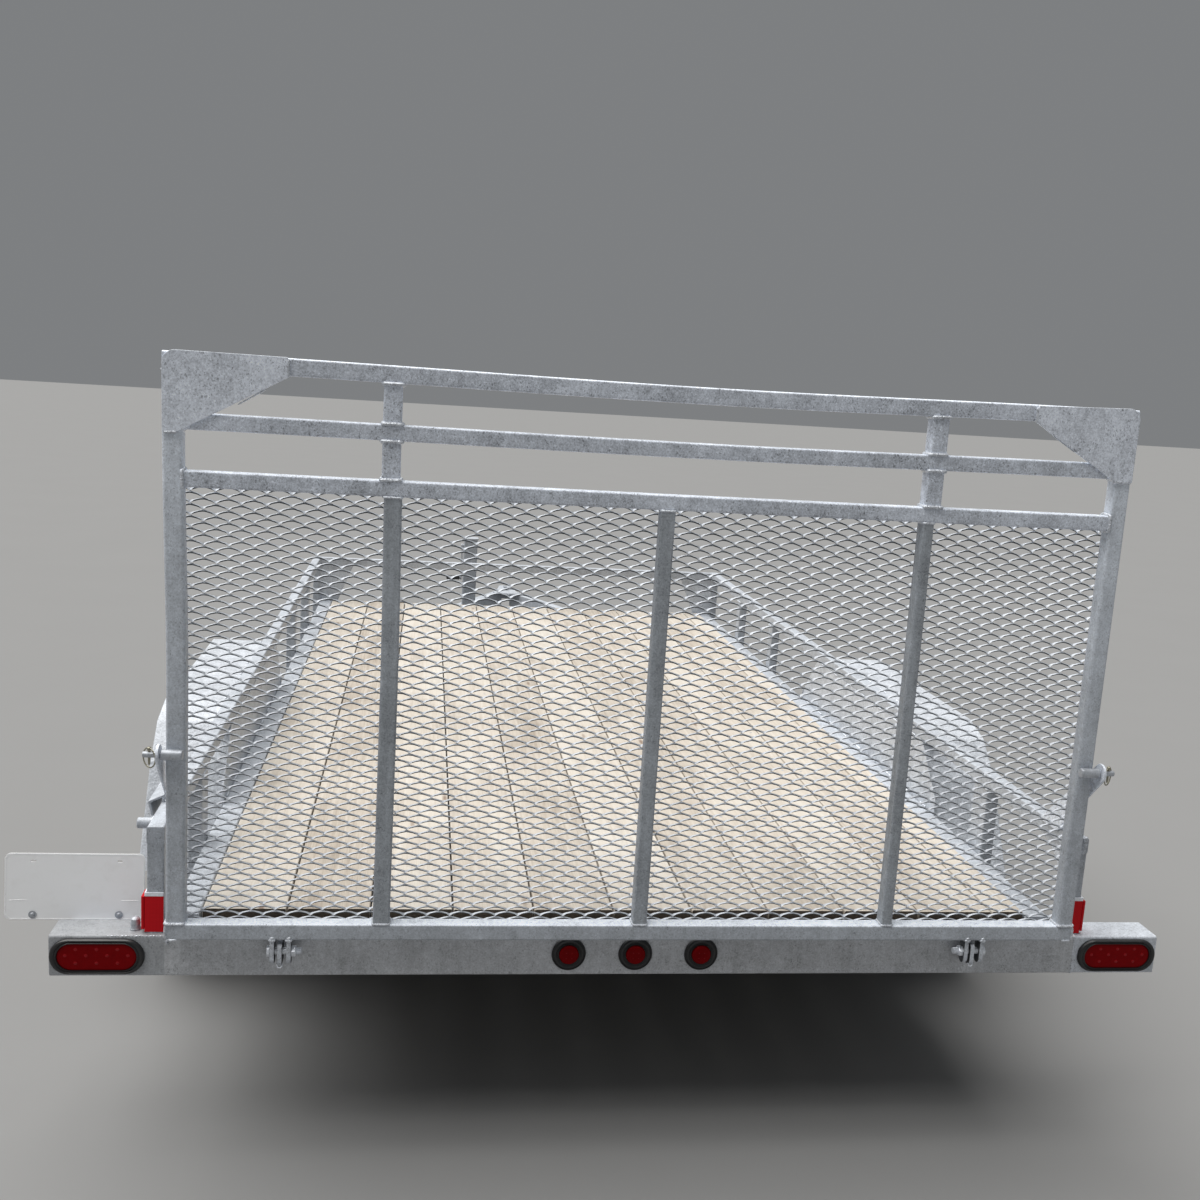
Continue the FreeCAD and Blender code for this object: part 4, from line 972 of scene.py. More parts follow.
def boolean(ob, cutter_geo, op="DIFFERENCE"):
    """Cuts a geo out of an object's mesh, then leaves a plain mesh."""
    me = bpy.data.meshes.new("cut")
    me.from_pydata([W(p) for p in cutter_geo.v], [], cutter_geo.f)
    bm = bmesh.new()
    bm.from_mesh(me)
    bmesh.ops.remove_doubles(bm, verts=bm.verts, dist=3e-6)
    bmesh.ops.recalc_face_normals(bm, faces=bm.faces)
    bm.to_mesh(me)
    bm.free()
    c = bpy.data.objects.new("cut", me)
    bpy.context.scene.collection.objects.link(c)
    saved = [(m.name, m.type) for m in ob.modifiers]
    for m in list(ob.modifiers):
        ob.modifiers.remove(m)
    b = ob.modifiers.new("b", "BOOLEAN")
    b.operation = op
    b.solver = "EXACT"
    b.object = c
    bpy.context.view_layer.update()
    dg = bpy.context.evaluated_depsgraph_get()
    new = bpy.data.meshes.new_from_object(ob.evaluated_get(dg))
    ob.modifiers.remove(b)
    old = ob.data
    mats = list(old.materials)
    ob.data = new
    if not new.materials:
        for m in mats:
            new.materials.append(m)
    bpy.data.objects.remove(c)
    bm = bmesh.new()
    bm.from_mesh(new)
    for f in bm.faces:
        f.smooth = True
    lim = math.radians(42)
    for e in bm.edges:
        e.smooth = not (len(e.link_faces) == 2 and e.calc_face_angle(0.0) > lim)
    bm.to_mesh(new)
    bm.free()
    w = ob.modifiers.new("weighted", "WEIGHTED_NORMAL")
    w.keep_sharp = True


# ------------------------------------------------------------------ floor frame and deck
CROSS_YS = [300.0, 760.0, 1220.0, 1680.0, 2140.0, 2600.0, 3060.0, 3520.0, 3880.0]


def build_floor():
    g = Geo()
    for s in (-1, 1):
        x0, x1 = sorted((s * 993.0, s * 1055.0))
        tube_box(g, "y", x0, x1, 87.0, 4108.0, 0.0, 105.0, r=5.0)
    piece(g, "side_members", "galv", "trailer", ["frame_side_left", "frame_side_right"])
    g = Geo()
    tube_box(g, "x", -994.0, 994.0, 4064.0, 4108.0, 0.0, 105.0, r=5.0)
    for y in CROSS_YS:
        # open C section, flange at the bottom and top, web at the front side
        o = [(y - 30, 0.0), (y + 30, 0.0), (y + 30, 75.0), (y - 30, 75.0), (y - 30, 69.0), (y + 24, 69.0), (y + 24, 6.0), (y - 30, 6.0)]
        slab(g, "x", [(a, b) for a, b in o], -993.5, 993.5)
    piece(g, "floor_channels", "galv", "trailer", ["frame_front", "cross_members"], bevel=1.2)
    g = Geo()
    for y in CROSS_YS:
        for s in (-1, 1):
            bead(g, [(s * 992, y - 30, 1), (s * 992, y + 30, 1)], 3.2)
            bead(g, [(s * 992, y + 31, 2), (s * 992, y + 31, 73)], 3.0)
    for s in (-1, 1):
        x0, x1 = s * 993, s * 1055
        bead(g, [(x0, 89.5, 94.0), (x1, 89.5, 94.5)], 3.4)
        bead(g, [(x0, 89.0, 2.0), (x0, 89.0, 92.0)], 3.0)
        bead(g, [(x1, 89.0, 2.0), (x1, 89.0, 92.0)], 3.0)
        bead(g, [(s * 993, 4063, 5), (s * 993, 4063, 103)], 3.0)
    piece(g, "frame_beads", "galv_weld", "trailer", weighted=False)

    # planks, each a little different in height and edge
    me = bpy.data.meshes.new("deck_boards")
    v, f, seeds = [], [], []
    x = -987.5
    n = 0
    while x < 970.0:
        x1 = min(x + 185.8, 990.0)
        r = 3.2
        sec = rrect(x1 - x, 38.0, r, 3)
        cx, cz = (x + x1) / 2, 94.0
        ys = [100.0, 101.4] + [100.0 + 3962.0 * t / 24 for t in range(1, 24)] + [4060.6, 4062.0]
        a1, a2, a3 = rnd.uniform(0, 6.28), rnd.uniform(-0.5, 0.5), rnd.uniform(-0.35, 0.1)
        dy = rnd.uniform(-3.0, 1.5)
        base = len(v)
        for j, y in enumerate(ys):
            k = 1.2 if j in (0, len(ys) - 1) else 0.0
            for p, q in rrect(x1 - x - 2 * k, 38.0 - 2 * k, r, 3):
                cup = a2 * (1 - (2 * p / (x1 - x)) ** 2)
                z = cz + q + (cup + a3 + 0.35 * math.sin(y / 700.0 + a1) if q > 0 else 0.0)
                v.append((cx + p, y + (dy if j < 2 else 0.0), min(z, 112.98)))
        m = len(sec)
        for j in range(len(ys) - 1):
            for i in range(m):
                f.append((base + j * m + i, base + j * m + (i + 1) % m, base + (j + 1) * m + (i + 1) % m, base + (j + 1) * m + i))
        f.append(tuple(base + i for i in range(m))[::-1])
        f.append(tuple(base + (len(ys) - 1) * m + i for i in range(m)))
        seeds += [(rnd.random(), rnd.random(), rnd.random())] * (m * len(ys))
        x += 189.8
        n += 1
    me.from_pydata([W(p) for p in v], [], f)
    at = me.attributes.new("plank", "FLOAT_VECTOR", "POINT")
    at.data.foreach_set("vector", [c for s in seeds for c in s])
    me.materials.append(MATS["wood"])
    finish_mesh(me, sharp=60.0)
    link(me, "deck_boards", "wood", "trailer", ["deck_planks"])
    g = Geo()
    x = -987.5
    while x < 970.0:
        x1 = min(x + 185.8, 990.0)
        for y in CROSS_YS:
            for xx in ((x + 28, x1 - 28) if x1 - x > 120 else ((x + x1) / 2,)):
                pan_head(g, "z", (xx + rnd.uniform(-4, 4), y + rnd.uniform(-7, 7), 112.2), 5.2, 0.75)
        x += 189.8
    piece(g, "deck_screws", "zinc", "trailer", weighted=False)


# ------------------------------------------------------------------ rails and posts
RT, RB = 337.0, 297.0


def build_rails():
    g = Geo()
    for s in (-1, 1):
        x0, x1 = sorted((s * 1055.0, s * 1093.0))
        tube_box(g, "y", x0, x1, 16.0, 4108.0, RB, RT, r=5.0)
    piece(g, "side_top_rails", "galv", "trailer", ["top_rail_left", "top_rail_right"])
    g = Geo()
    tube_box(g, "x", -1056.0, 1056.0, 4070.4, 4107.6, RB + 0.4, RT - 0.4, r=5.0)
    piece(g, "front_top_rail", "galv", "trailer", ["top_rail_front"])
    g, w = Geo(), Geo()
    for s in (-1, 1):
        x0, x1 = sorted((s * 1055.4, s * 1092.6))
        xm = s * 1074.0
        tube_box(g, "z", x0, x1, 16.4, 54.0, 92.0, RB + 2, r=5.0)
        loop_bead(w, "z", 94.5, xm, 35.0, 38.0, 38.0, 3.0)
        for y0, y1, z0 in ((500.0, 585.0, 0.0), (2792.0, 2852.0, 0.0), (3402.0, 3462.0, 0.0), (4070.0, 4108.0, 0.0)):
            tube_box(g, "z", x0, x1, y0, y1, z0, RB + 2, r=5.0)
            loop_bead(w, "z", RB - 1, xm, (y0 + y1) / 2, 38.0, y1 - y0, 3.0)
            for yy in (y0, y1):
                bead(w, [(s * 1056, yy, 3.0), (s * 1056, yy, 103.0)], 3.0)
    piece(g, "rail_posts", "galv", "trailer", ["side_posts_left", "side_posts_right"])

    # corner plates
    g = Geo()
    for s in (-1, 1):
        slab(g, "y", [(s * x, z) for x, z in ((1055, 298), (885, 298), (965, 105), (1055, 105))], 4086.0, 4091.0)
        bead(w, [(s * 886, 4086, 297.0), (s * 1054, 4086, 297.0)], 2.8)
        bead(w, [(s * 1054.5, 4086, 107.0), (s * 1054.5, 4086, 296.0)], 2.8)
        bead(w, [(s * 966, 4086, 106.0), (s * 1054, 4086, 106.0)], 2.8)
        gy, zr, S, R = 54.0, 297.0, 165.0, 151.0
        out = [(gy, zr + 1), (gy, zr - S), (gy + 14, zr - S)]
        for i in range(1, 16):
            a = math.pi - (math.pi / 2) * i / 16
            out.append((gy + S + R * math.cos(a), zr - S + R * math.sin(a)))
        out += [(gy + S, zr - 14), (gy + S, zr + 1)]
        slab(g, "x", [(y, z) for y, z in out], s * 1071.0, s * 1077.0)
        bead(w, [(s * 1070.5, gy, zr - S), (s * 1070.5, gy, zr - 4)], 2.6)
        bead(w, [(s * 1070.5, gy + 3, zr), (s * 1070.5, gy + S, zr)], 2.6)
    piece(g, "rail_corner_plates", "galv_box", "trailer", ["corner_plates"], bevel=0.9)

    # folded lug and bar stub outboard of the left rail
    g = Geo()
    lug = [(-1123.0, 338.6), (-1087.0, 355.6), (-1087.0, 337.0), (-1092.0, 337.0), (-1092.0, 347.7), (-1115.2, 336.8), (-1117.4, 333.6), (-1110.1, 305.1), (-1115.0, 304.0), (-1122.9, 335.4)]
    slab(g, "y", lug, 176.0, 312.0)
    lathe(g, "x", (0, 92.0, 318.0), [(-1092.0, 0.0), (-1092.0, 12.3), (-1126.0, 12.3), (-1128.0, 10.3), (-1128.0, 0.0)], 28)
    piece(g, "left_side_lug", "galv", "trailer", ["side_lug_left"], bevel=0.8)
    loop_bead(w, "x", -1094.0, 92.0, 318.0, 23.0, 23.0, 2.6)
    bead(w, [(-1085.5, 178, 338.6), (-1085.5, 311, 338.6)], 2.8)
    piece(w, "rail_beads", "galv_weld", "trailer", weighted=False)


# ------------------------------------------------------------------ fenders
AM, AS = 1540.0, 800.0
FPROF = [(0.0, 335.0), (430.0, 335.0), (545.0, 300.0), (640.0, 205.0), (755.0, 10.0), (795.0, -60.0)]
PPROF = [(555.0, 297.0), (700.0, 150.0), (708.0, 105.0), (708.0, 30.0)]


def fender_path(R=26.0, seg=5):
    pts = [(-y, z) for y, z in reversed(FPROF[1:])] + FPROF[1:]
    out = [pts[0]]
    for i in range(1, len(pts) - 1):
        a, b, c = Vector(pts[i - 1]), Vector(pts[i]), Vector(pts[i + 1])
        u, v = (a - b).normalized(), (c - b).normalized()
        half = math.acos(max(-1, min(1, u.dot(v)))) / 2
        t = min(R / math.tan(half), (a - b).length * 0.45, (c - b).length * 0.45)
        p, q = b + u * t, b + v * t
        for k in range(seg + 1):
            s = k / seg
            out.append(tuple(p * (1 - s) ** 2 + b * 2 * s * (1 - s) + q * s ** 2))
    out.append(pts[-1])
    # extra stations along the long flats, for soft dents
    fine = [out[0]]
    for a, b in zip(out, out[1:]):
        d = math.hypot(b[0] - a[0], b[1] - a[1])
        k = max(1, int(d / 45.0))
        for i in range(1, k + 1):
            fine.append((a[0] + (b[0] - a[0]) * i / k, a[1] + (b[1] - a[1]) * i / k))
    return fine


def build_fenders():
    path = fender_path()
    n = len(path)
    T = 3.0
    for s, side in ((-1, "left"), (1, "right")):
        g = Geo()
        rings = []
        for i, (y, z) in enumerate(path):
            a, b = path[max(0, i - 1)], path[min(n - 1, i + 1)]
            t = Vector((b[0] - a[0], b[1] - a[1])).normalized()
            nr = Vector((-t[1], t[0]))
            if nr[1] < 0 and abs(t[0]) > 0.1:
                nr = -nr
            xi, xo, r = 1058.0, 1268.0, 5.0
            sec = []
            cols = 8
            dent = lambda x: -0.9 * (0.5 + 0.5 * math.sin(y * 0.011 + x * 0.02 + s)) * math.sin(math.pi * (x - xi) / (xo - xi))
            for k in range(cols + 1):
                x = xi + (xo - r - xi) * k / cols
                sec.append((x, dent(x)))
            for k in range(1, 5):
                aa = math.radians(90 * k / 4)
                sec.append((xo - r + r * math.sin(aa), -r + r * math.cos(aa)))
            sec.append((xo, -28.0))
            sec.append((xo - T, -28.0))
            for k in range(0, 4):
                aa = math.radians(90 - 90 * k / 4)
                sec.append((xo - r + (r - T) * math.sin(aa), -r + (r - T) * math.cos(aa)))
            for k in range(cols, -1, -1):
                x = xi + (xo - r - xi) * k / cols
                sec.append((x, dent(x) - T))
            rings.append([(s * x, AM + y + nr[0] * d, z + nr[1] * d) for x, d in sec])
        loft(g, rings)
        piece(g, "fender_sheet_" + side, "galv_fender", "trailer", ["fender_" + side], sharp=50.0)
    g, w = Geo(), Geo()
    for s in (-1, 1):
        out = [(AM - y, z) for y, z in PPROF[::-1]] + [(AM + y, z) for y, z in PPROF]
        slab(g, "x", [(y, z) for y, z in out], s * 1055.4, s * 1058.4)
        # stitch welds of the wall along the member and the rail, and of the fender along the rail
        for k in range(9):
            y = AM - 640 + 155 * k
            bead(w, [(s * 1054.0, y, 106.0), (s * 1054.0, y + 48, 106.0)], 3.0)
        for k in range(7):
            y = AM - 500 + 160 * k
            bead(w, [(s * 1054.6, y, 296.5), (s * 1054.6, y + 48, 296.5)], 2.8)
        for k in range(6):
            y = AM - 420 + 155 * k
            bead(w, [(s * 1094.2, y, 336.2), (s * 1094.2, y + 55, 336.2)], 2.8)
        for e in (-1, 1):
            a, b = (545.0, 298.0), (640.0, 203.0)
            c = (700.0, 100.0)
            bead(w, [(s * 1060.0, AM + e * a[0], a[1] - 4), (s * 1060.0, AM + e * (b[0] - 3), b[1] - 4), (s * 1060.0, AM + e * (c[0] - 4), c[1])], 3.2)
            yb = AM + e * 708.0
            bead(w, [(s * 1054.0, yb, 32.0), (s * 1054.0, yb, 150.0)], 2.8)
    piece(g, "fender_wall_sheets", "galv_fender", "trailer", ["fender_walls"], bevel=0.6)
    piece(w, "fender_beads", "galv_weld", "trailer", weighted=False)


# ------------------------------------------------------------------ wheels
TX, TR, TW, RR = 1161.0, 331.0, 185.0, 178.0
HUBZ = TR + GROUND
AXY = [AM - AS / 2, AM + AS / 2]


def tyre_mesh(g, x, y, s):
    w = TW / 2
    # half section from the bead out to the shoulder: (distance from the middle, radius)
    side = [(w * 0.72, RR + 0.6), (w * 0.80, RR + 6), (w * 0.90, RR + 12), (w * 0.915, RR + 16), (w * 0.895, RR + 19), (w * 0.935, RR + 30), (w * 0.965, RR + 46),
            (w * 0.985, RR + 60), (w * 1.0, RR + 64), (w * 1.0, RR + 67), (w * 0.985, RR + 70), (w * 0.992, RR + 84), (w * 0.985, RR + 98), (w * 0.975, RR + 112),
            (w * 0.985, RR + 116), (w * 0.95, RR + 122), (w * 0.90, RR + 134), (w * 0.84, TR - 10), (w * 0.795, TR - 4.2)]
    tread = [0.77, 0.73, 0.60, 0.565, 0.55, 0.52, 0.505, 0.47, 0.34, 0.225, 0.215, 0.185, 0.175, 0.14, 0.0]
    prof = [(-a, r) for a, r in side]
    half = [(-a * w, TR - 3.4 * (a / 0.8) ** 2.4) for a in tread]
    prof = [(a, r, 0) for a, r in prof] + [(a, r, 1) for a, r in half] + [(-a, r, 1) for a, r in half[-2::-1]] + [(a, r, 0) for a, r in side[::-1]]
    seg = 264
    grooves = [0.5125 * w, 0.18 * w]
    rings = []
    for i in range(seg):
        t = 2 * math.pi * i / seg
        ring = []
        for a, r, tr in prof:
            rr = r
            if tr:
                b = abs(a)
                if any(abs(b - q) < 0.02 * w for q in grooves):
                    rr = r - 7.0
                else:
                    ph = (i + (2 if b < 0.5 * w else 0) + (1 if a > 0 else 0)) % 4
                    if b > 0.53 * w and ph == 0:
                        rr = r - 5.5
                    elif 0.22 * w < b < 0.50 * w and (i + 2) % 4 == 0:
                        rr = r - 4.0
            elif abs(a) > 0.9 * w and TR - 26 < r < TR - 6 and i % 4 in (0,):
                rr = r - 1.6
            ring.append((x + a, y + rr * math.cos(t), HUBZ + rr * math.sin(t)))
        rings.append(ring)
    n = len(prof)
    faces = []
    for j in range(seg):
        k = (j + 1) % seg
        for i in range(n - 1):
            faces.append((j * n + i, j * n + i + 1, k * n + i + 1, k * n + i))
        faces.append((j * n + n - 1, j * n, k * n, k * n + n - 1))
    g.add([p for r in rings for p in r], faces)


def wheel_mesh(name, x, y, s, node, body):
    w = TW / 2 * 0.76
    g = Geo()
    # rim barrel with flanges and drop centre
    prof = [(-w - 3, RR + 3.6), (-w, RR + 4), (-w + 2, RR), (-w + 6, RR - 1.2), (-w + 20, RR - 2), (-w + 28, RR - 15), (w - 44, RR - 15), (w - 34, RR - 3), (w - 4, RR - 1.2), (w - 2, RR),
            (w, RR + 4), (w + 3, RR + 3.6), (w + 3.6, RR + 0.5), (w + 2.6, RR - 4), (w - 4, RR - 6), (w - 30, RR - 7), (w - 42, RR - 19), (-w + 28, RR - 19), (-w + 18, RR - 6), (-w + 2, RR - 5), (-w - 2.6, RR - 4), (-w - 3.6, RR + 0.5)]
    prof.append(prof[0])
    lathe(g, "x", (x, y, HUBZ), [(s * a, r) for a, r in prof], 72)
    # disc: crown, bolt face and centre hole
    disc = [(44.0, RR - 18.5), (48.0, 150.0), (50.0, 138.0), (46.0, 120.0), (36.0, 100.0), (30.5, 90.0), (30.0, 56.0), (30.0, 43.0), (24.5, 43.0), (24.5, 56.0), (25.0, 92.0), (31.0, 104.0), (40.5, 122.0), (44.5, 138.0), (42.5, 150.0), (38.5, RR - 18.5)]
    disc.append(disc[0])
    lathe(g, "x", (x, y, HUBZ), [(s * a, r) for a, r in disc], 96)
    ob = piece(g, name + "_disc", "rim_silver", body, [node], sharp=48.0)
    cut = Geo()
    for i in range(8):
        t = 2 * math.pi * (i + 0.5) / 8
        ring1, ring2 = [], []
        for k in range(20):
            a = 2 * math.pi * k / 20
            # rounded window, wider outwards
            rr = 124.0 + 16.5 * math.cos(a)
            tt = t + (15.0 + 3.0 * math.cos(a)) * math.sin(a) / 124.0
            p = (y + rr * math.cos(tt), HUBZ + rr * math.sin(tt))
            ring1.append((x + s * 15, p[0], p[1]))
            ring2.append((x + s * 70, p[0], p[1]))
        loft(cut, [ring1, ring2])
    boolean(ob, cut)
    # nuts, hub with grease cap, valve
    g = Geo()
    for i in range(6):
        t = 2 * math.pi * (i + 0.25) / 6
        c = (x + s * 30.0, y + 69.85 * math.cos(t), HUBZ + 69.85 * math.sin(t))
        hexnut(g, "x", c, 20.5, 13.0, 13.0, s, 7.0)
    hub = [(22.0, 0.0), (22.0, 42.0), (34.0, 41.5), (46.0, 37.0), (47.0, 31.0), (48.0, 30.0), (58.0, 29.0), (62.6, 24.0), (64.0, 12.0), (64.0, 0.0)]
    lathe(g, "x", (x, y, HUBZ), [(s * a, r) for a, r in hub], 36)
    t = math.radians(36)
    c = Vector((x + s * (w - 12), y + (RR - 14) * math.cos(t), HUBZ + (RR - 14) * math.sin(t)))
    d = Vector((s * 1.0, -0.35 * math.cos(t), -0.35 * math.sin(t))).normalized()
    sweep(g, [tuple(c), tuple(c + d * 14), tuple(c + d * 15), tuple(c + d * 25)], lambda i: (5.0, 4.0, 3.2, 3.0)[i], 10)
    piece(g, name + "_hub_nuts", "zinc", body)


def build_wheels():
    for side, s in (("left", -1), ("right", 1)):
        for i, pl in enumerate(("rear", "front")):
            body = "wheel_%s_%s_body" % (side, pl)
            g = Geo()
            tyre_mesh(g, s * TX, AXY[i], s)
            piece(g, "tyre_tread_%s_%s" % (side, pl), "tyre", body, ["tyre_%s_%s" % (side, pl)], sharp=38.0, weighted=False)
            wheel_mesh("wheel_%s_%s" % (side, pl), s * TX, AXY[i], s, "wheel_%s_%s" % (side, pl), body)


# ------------------------------------------------------------------ running gear
def build_gear():
    g = Geo()
    for y in AXY:
        lathe(g, "x", (0, y, HUBZ), [(-1101.0, 0.0), (-1101.0, 29.0), (-1100.0, 30.0), (1100.0, 30.0), (1101.0, 29.0), (1101.0, 0.0)], 32)
        for s in (-1, 1):
            # backing plate with a rolled rim, spindle behind it
            prof = [(-70.0, 0.0), (-70.0, 98.0), (-72.0, 104.0), (-70.0, 105.0), (-60.0, 105.0), (-60.0, 100.0), (-61.5, 96.0), (-61.5, 36.0), (-55.0, 34.0), (-50.0, 20.0), (19.0, 18.5), (19.0, 0.0)]
            lathe(g, "x", (s * TX, y, HUBZ), [(s * a, r) for a, r in prof], 48)
            for k in range(4):
                t = math.pi / 4 + k * math.pi / 2
                hexnut(g, "x", (s * (TX - 70), y + 42 * math.cos(t), HUBZ + 42 * math.sin(t)), 14.0, 7.0, 0.0, -s, 3.0)
    piece(g, "axle_beams", "dark_steel", "trailer", ["axles"])
    cad(["leaf_springs"], "spring_packs", "dark_steel", "trailer", bevel=0.8)
    cad(["spring_hangers"], "spring_brackets", "galv", "trailer", bevel=0.9)
    g = Geo()
    for s in (-1, 1):
        for y in AXY:
            xc = s * 1021.0
            z0 = HUBZ + 30.0
            for e in (-1, 1):
                yy = y + e * 33.0
                top = z0 + 40.0
                bot = HUBZ - 42.0
                pts = [(xc - 33, yy, bot - 14), (xc - 33, yy, top - 8)]
                for k in range(7):
                    a = math.pi - math.pi * k / 6
                    pts.append((xc + 33 * math.cos(a), yy, top - 8 + 16 * math.sin(a)))
                pts += [(xc + 33, yy, top - 8), (xc + 33, yy, bot - 14)]
                sweep(g, pts, 5.5, 8)
                for q in (-33, 33):
                    hexnut(g, "z", (xc + q, yy, bot), 17.0, 10.0, 0.0, -1, 0.0)
            box(g, xc - 42, xc + 42, y - 46, y + 46, bot, bot + 7)
            box(g, xc - 22, xc + 22, y - 40, y + 40, HUBZ + 28, z0 + 3)
        for yy in (AXY[0] - 330, AXY[1] + 330, AM - 70, AM + 70):
            zz = HUBZ + 30 + 52
            hexnut(g, "x", (s * 1021 + 30, yy, zz), 22.0, 9.0, 0.0, 1, 0.0)
            hexnut(g, "x", (s * 1021 - 30, yy, zz), 22.0, 9.0, 0.0, -1, 0.0)
        for y in AXY:
            for e in (-1, 1):
                yy = y + e * 175
                zz = HUBZ + 30 + 52 * 0.55
                box(g, s * 1021 - 26, s * 1021 + 26, yy - 9, yy + 9, zz - 16, zz + 14)
    piece(g, "spring_clamps", "dark_steel", "trailer", bevel=0.8)


# ------------------------------------------------------------------ tongue, coupler and jack
TZ = -90.0            # underside of the tongue bars


def tongue_x(y):
    return 897.0 + (52.0 - 897.0) * (y - 3490.0) / (5190.0 - 3490.0)


def build_tongue():
    g, w = Geo(), Geo()
    k = 50.0 / math.cos(math.atan2(845.0, 1700.0))
    for s in (-1, 1):
        rings = []
        for y, e in ((3490.0, 1.0), (3491.0, 0.0), (5189.0, 0.0), (5190.0, 1.0)):
            rings.append([(s * (tongue_x(y)) + p, y, TZ + 45.0 + q) for p, q in rrect(k - 2 * e, 90.0 - 2 * e, 6.0, 3)])
        loft(g, rings)
        # welds along the frame's front member and the last cross members
        xc = s * tongue_x(4110.0)
        bead(w, [(xc - k / 2, 4109.5, -1.0), (xc + k / 2, 4109.5, -1.0)], 3.6)
        for y0, y1 in ((4064.0, 4108.0), (3850.0, 3910.0), (3492.0, 3550.0)):
            for e in (-1, 1):
                bead(w, [(s * tongue_x(y0) + e * k / 2, y0, -1.0), (s * tongue_x(y1) + e * k / 2, y1, -1.0)], 3.2)
    piece(g, "tongue_tubes", "galv", "trailer", ["tongue_left", "tongue_right"])
    cad(["coupler"], "coupler_body", "galv", "trailer", bevel=0.8, angle=35)
    cad(["coupler_latch"], "coupler_lever", "zinc", "trailer", bevel=1.6)
    bead(w, [(-79, 5082, TZ + 91), (-79, 5188, TZ + 91)], 3.4)
    bead(w, [(79, 5082, TZ + 91), (79, 5188, TZ + 91)], 3.4)
    bead(w, [(-77, 5079, TZ + 92), (77, 5079, TZ + 92)], 3.0)
    cad(["jack_bracket"], "jack_bracket_plates", "galv", "trailer", bevel=1.2)

    # jack
    JX, JY = -255.0, 4560.0
    z0, z1 = -150.0, 405.0
    g = Geo()
    rings = []
    for z, h, r in ((z0, 37.0, 6.0), (z0 + 1, 38.0, 7.0), (z1, 38.0, 7.0), (z1, 42.0, 8.0), (z1 + 1, 43.0, 9.0), (z1 + 7, 43.0, 9.0), (z1 + 8, 42.0, 8.0)):
        rings.append([(JX + p, JY + q, z) for p, q in rrect(2 * h, 2 * h, r, 3)])
    loft(g, rings, caps=False)
    n = len(rings[0])
    g.add(rings[-1], [tuple(range(n))])
    # hollow lower end
    inner = []
    for z, h in ((z0, 33.0), (z0 + 150, 33.0)):
        inner.append([(JX + p, JY + q, z) for p, q in rrect(2 * h, 2 * h, 4.0, 3)])
    g.add(rings[0] + inner[0], [(i, n + i, n + (i + 1) % n, (i + 1) % n) for i in range(n)])
    loft(g, inner, caps=False)
    g.add(inner[1], [tuple(range(n))])
    piece(g, "jack_outer_tube", "galv", "trailer", ["jack_tube"], sharp=35)
    for yy in (JY - 38, JY + 38):
        for zz in (TZ + 12.0, TZ + 84.0):
            bead(w, [(JX - 38.5, yy - 1 if yy < JY else yy + 1, zz), (JX - 60, yy - 1 if yy < JY else yy + 1, zz)], 2.6)
        piece(w, "tongue_beads", "galv_weld", "trailer", weighted=False)
    g = Geo()
    tube_box(g, "z", JX - 32.3, JX + 32.3, JY - 32.3, JY + 32.3, GROUND + 8, 135.0, r=4.0)
    piece(g, "jack_inner_leg", "zinc", "jack_slide", ["jack_leg"])
    g = Geo()
    slab(g, "z", [(JX + p, JY + q) for p, q in rrect(150, 150, 12, 4)], GROUND, GROUND + 8)
    loop_bead(g, "z", GROUND + 9, JX, JY, 66, 66, 3.2)
    piece(g, "jack_foot_plate", "zinc", "jack_slide", ["jack_foot"], bevel=1.0)
    # crank: shaft, flat arm with round ends, grip
    cz = z1 - 40
    xa = JX - 38 - 6
    g = Geo()
    lathe(g, "x", (JX - 38, JY, cz), [(0.5, 0.0), (0.5, 12.0), (-2.0, 12.0), (-3.0, 9.0), (-14.5, 9.0), (-15.5, 8.0), (-15.5, 0.0)], 20)
    arm = []
    for i in range(13):
        a = math.pi * i / 12
        arm.append((JY + 11 * math.cos(a), cz + 1 + 11 * math.sin(a)))
    for i in range(13):
        a = math.pi + math.pi * i / 12
        arm.append((JY + 11 * math.cos(a), cz - 186 + 11 * math.sin(a)))
    slab(g, "x", arm, xa - 8, xa)
    lathe(g, "x", (xa - 8, JY, cz - 185), [(3.0, 0.0), (3.0, 9.0), (-4.0, 9.0), (-4.0, 6.0), (-80.0, 6.0), (-80.0, 0.0)], 16)
    piece(g, "jack_crank_arm", "zinc", "trailer", ["jack_crank"], bevel=0.8)
    g = Geo()
    prof = [(-5.0, 6.2), (-5.0, 11.0), (-7.0, 12.6), (-12.0, 12.9), (-16.0, 11.6), (-40.0, 12.4), (-62.0, 11.6), (-70.0, 12.8), (-75.0, 12.4), (-78.0, 9.6), (-78.0, 6.2), (-5.0, 6.2)]
    lathe(g, "x", (xa - 8, JY, cz - 185), prof, 24)
    piece(g, "jack_crank_grip", "grip_black", "trailer")


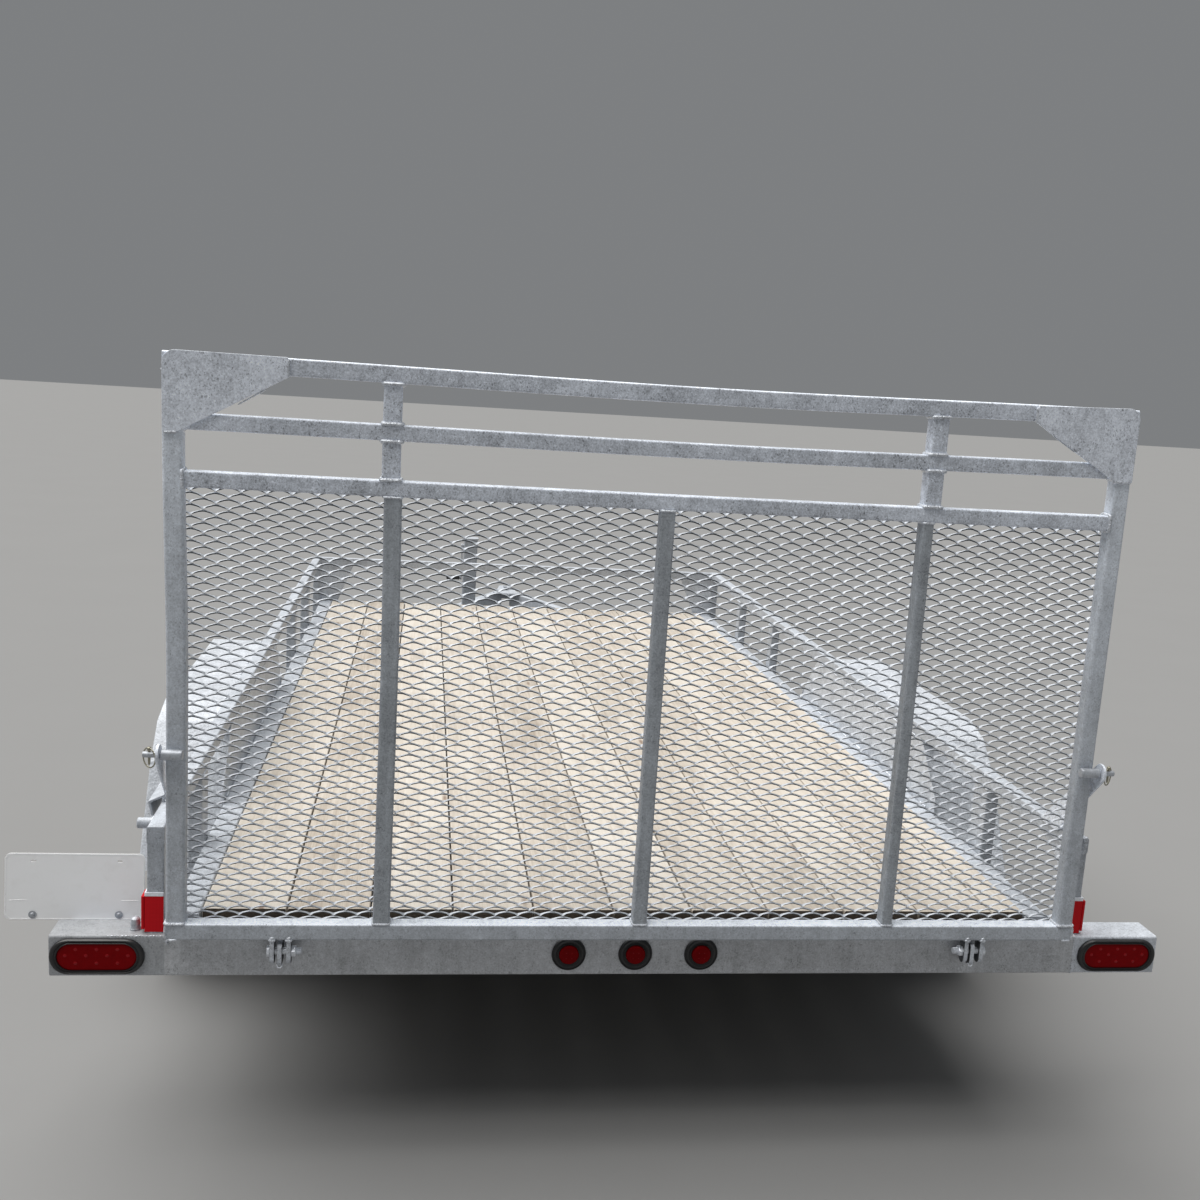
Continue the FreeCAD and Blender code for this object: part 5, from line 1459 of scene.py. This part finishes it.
# ------------------------------------------------------------------ all pieces
build_gate()
SPLITS = [-40, -13, 13, 40]
for i in range(3):
    mesh_panel("gate_expanded_mesh_%d" % (i + 1), SPLITS[i], SPLITS[i + 1], ["gate_mesh"])
build_hinges()
build_latches()
build_beam()
build_floor()
build_rails()
build_fenders()
build_wheels()
build_gear()
build_tongue()

# ------------------------------------------------------------------ stage, light and camera
scene = bpy.context.scene
scene.view_settings.view_transform = "Standard"
scene.view_settings.look = "None"
scene.view_settings.exposure = 0.0
scene.view_settings.gamma = 1.0

me = bpy.data.meshes.new("stage_floor")
F = 60.0
me.from_pydata([(-F, -F, 0.0), (F, -F, 0.0), (F, F, 0.0), (-F, F, 0.0)], [], [(0, 1, 2, 3)])
me.materials.append(MATS["stage_floor"])
floor = bpy.data.objects.new("stage_floor", me)
scene.collection.objects.link(floor)

world = bpy.data.worlds.new("studio")
scene.world = world
world.use_nodes = True
bg = world.node_tree.nodes["Background"]
bg.inputs[0].default_value = (0.94, 0.97, 1.0, 1)
bg.inputs[1].default_value = 0.22

sun = bpy.data.lights.new("soft_top", "SUN")
sun.energy = 4.6
sun.angle = math.radians(75)
sun.color = (1.0, 0.985, 0.96)
so = bpy.data.objects.new("soft_top", sun)
scene.collection.objects.link(so)
so.rotation_euler = Vector((-0.36, 0.15, 1.0)).to_track_quat("Z", "Y").to_euler()

# camera solved from the photograph
yaw, pitch, roll = 0.1404, 0.1714, 0.0618
fwd = Vector((math.sin(yaw), math.cos(yaw), 0))
right = Vector((math.cos(yaw), -math.sin(yaw), 0))
upv = Vector((0, 0, 1))
f2 = fwd * math.cos(pitch) - upv * math.sin(pitch)
u2 = upv * math.cos(pitch) + fwd * math.sin(pitch)
r3 = right * math.cos(roll) + u2 * math.sin(roll)
u3 = u2 * math.cos(roll) - right * math.sin(roll)
cam = bpy.data.cameras.new("camera")
cam.sensor_fit = "HORIZONTAL"
cam.sensor_width = 36.0
cam.lens = 1276.59 / 1200.0 * 36.0
cam.clip_start = 0.05
cam.clip_end = 200.0
co = bpy.data.objects.new("camera", cam)
scene.collection.objects.link(co)
m = Matrix((r3, u3, -f2)).transposed().to_4x4()
m.translation = Vector(W((-518.6, -2728.1, 1353.8)))
co.matrix_world = m
scene.camera = co
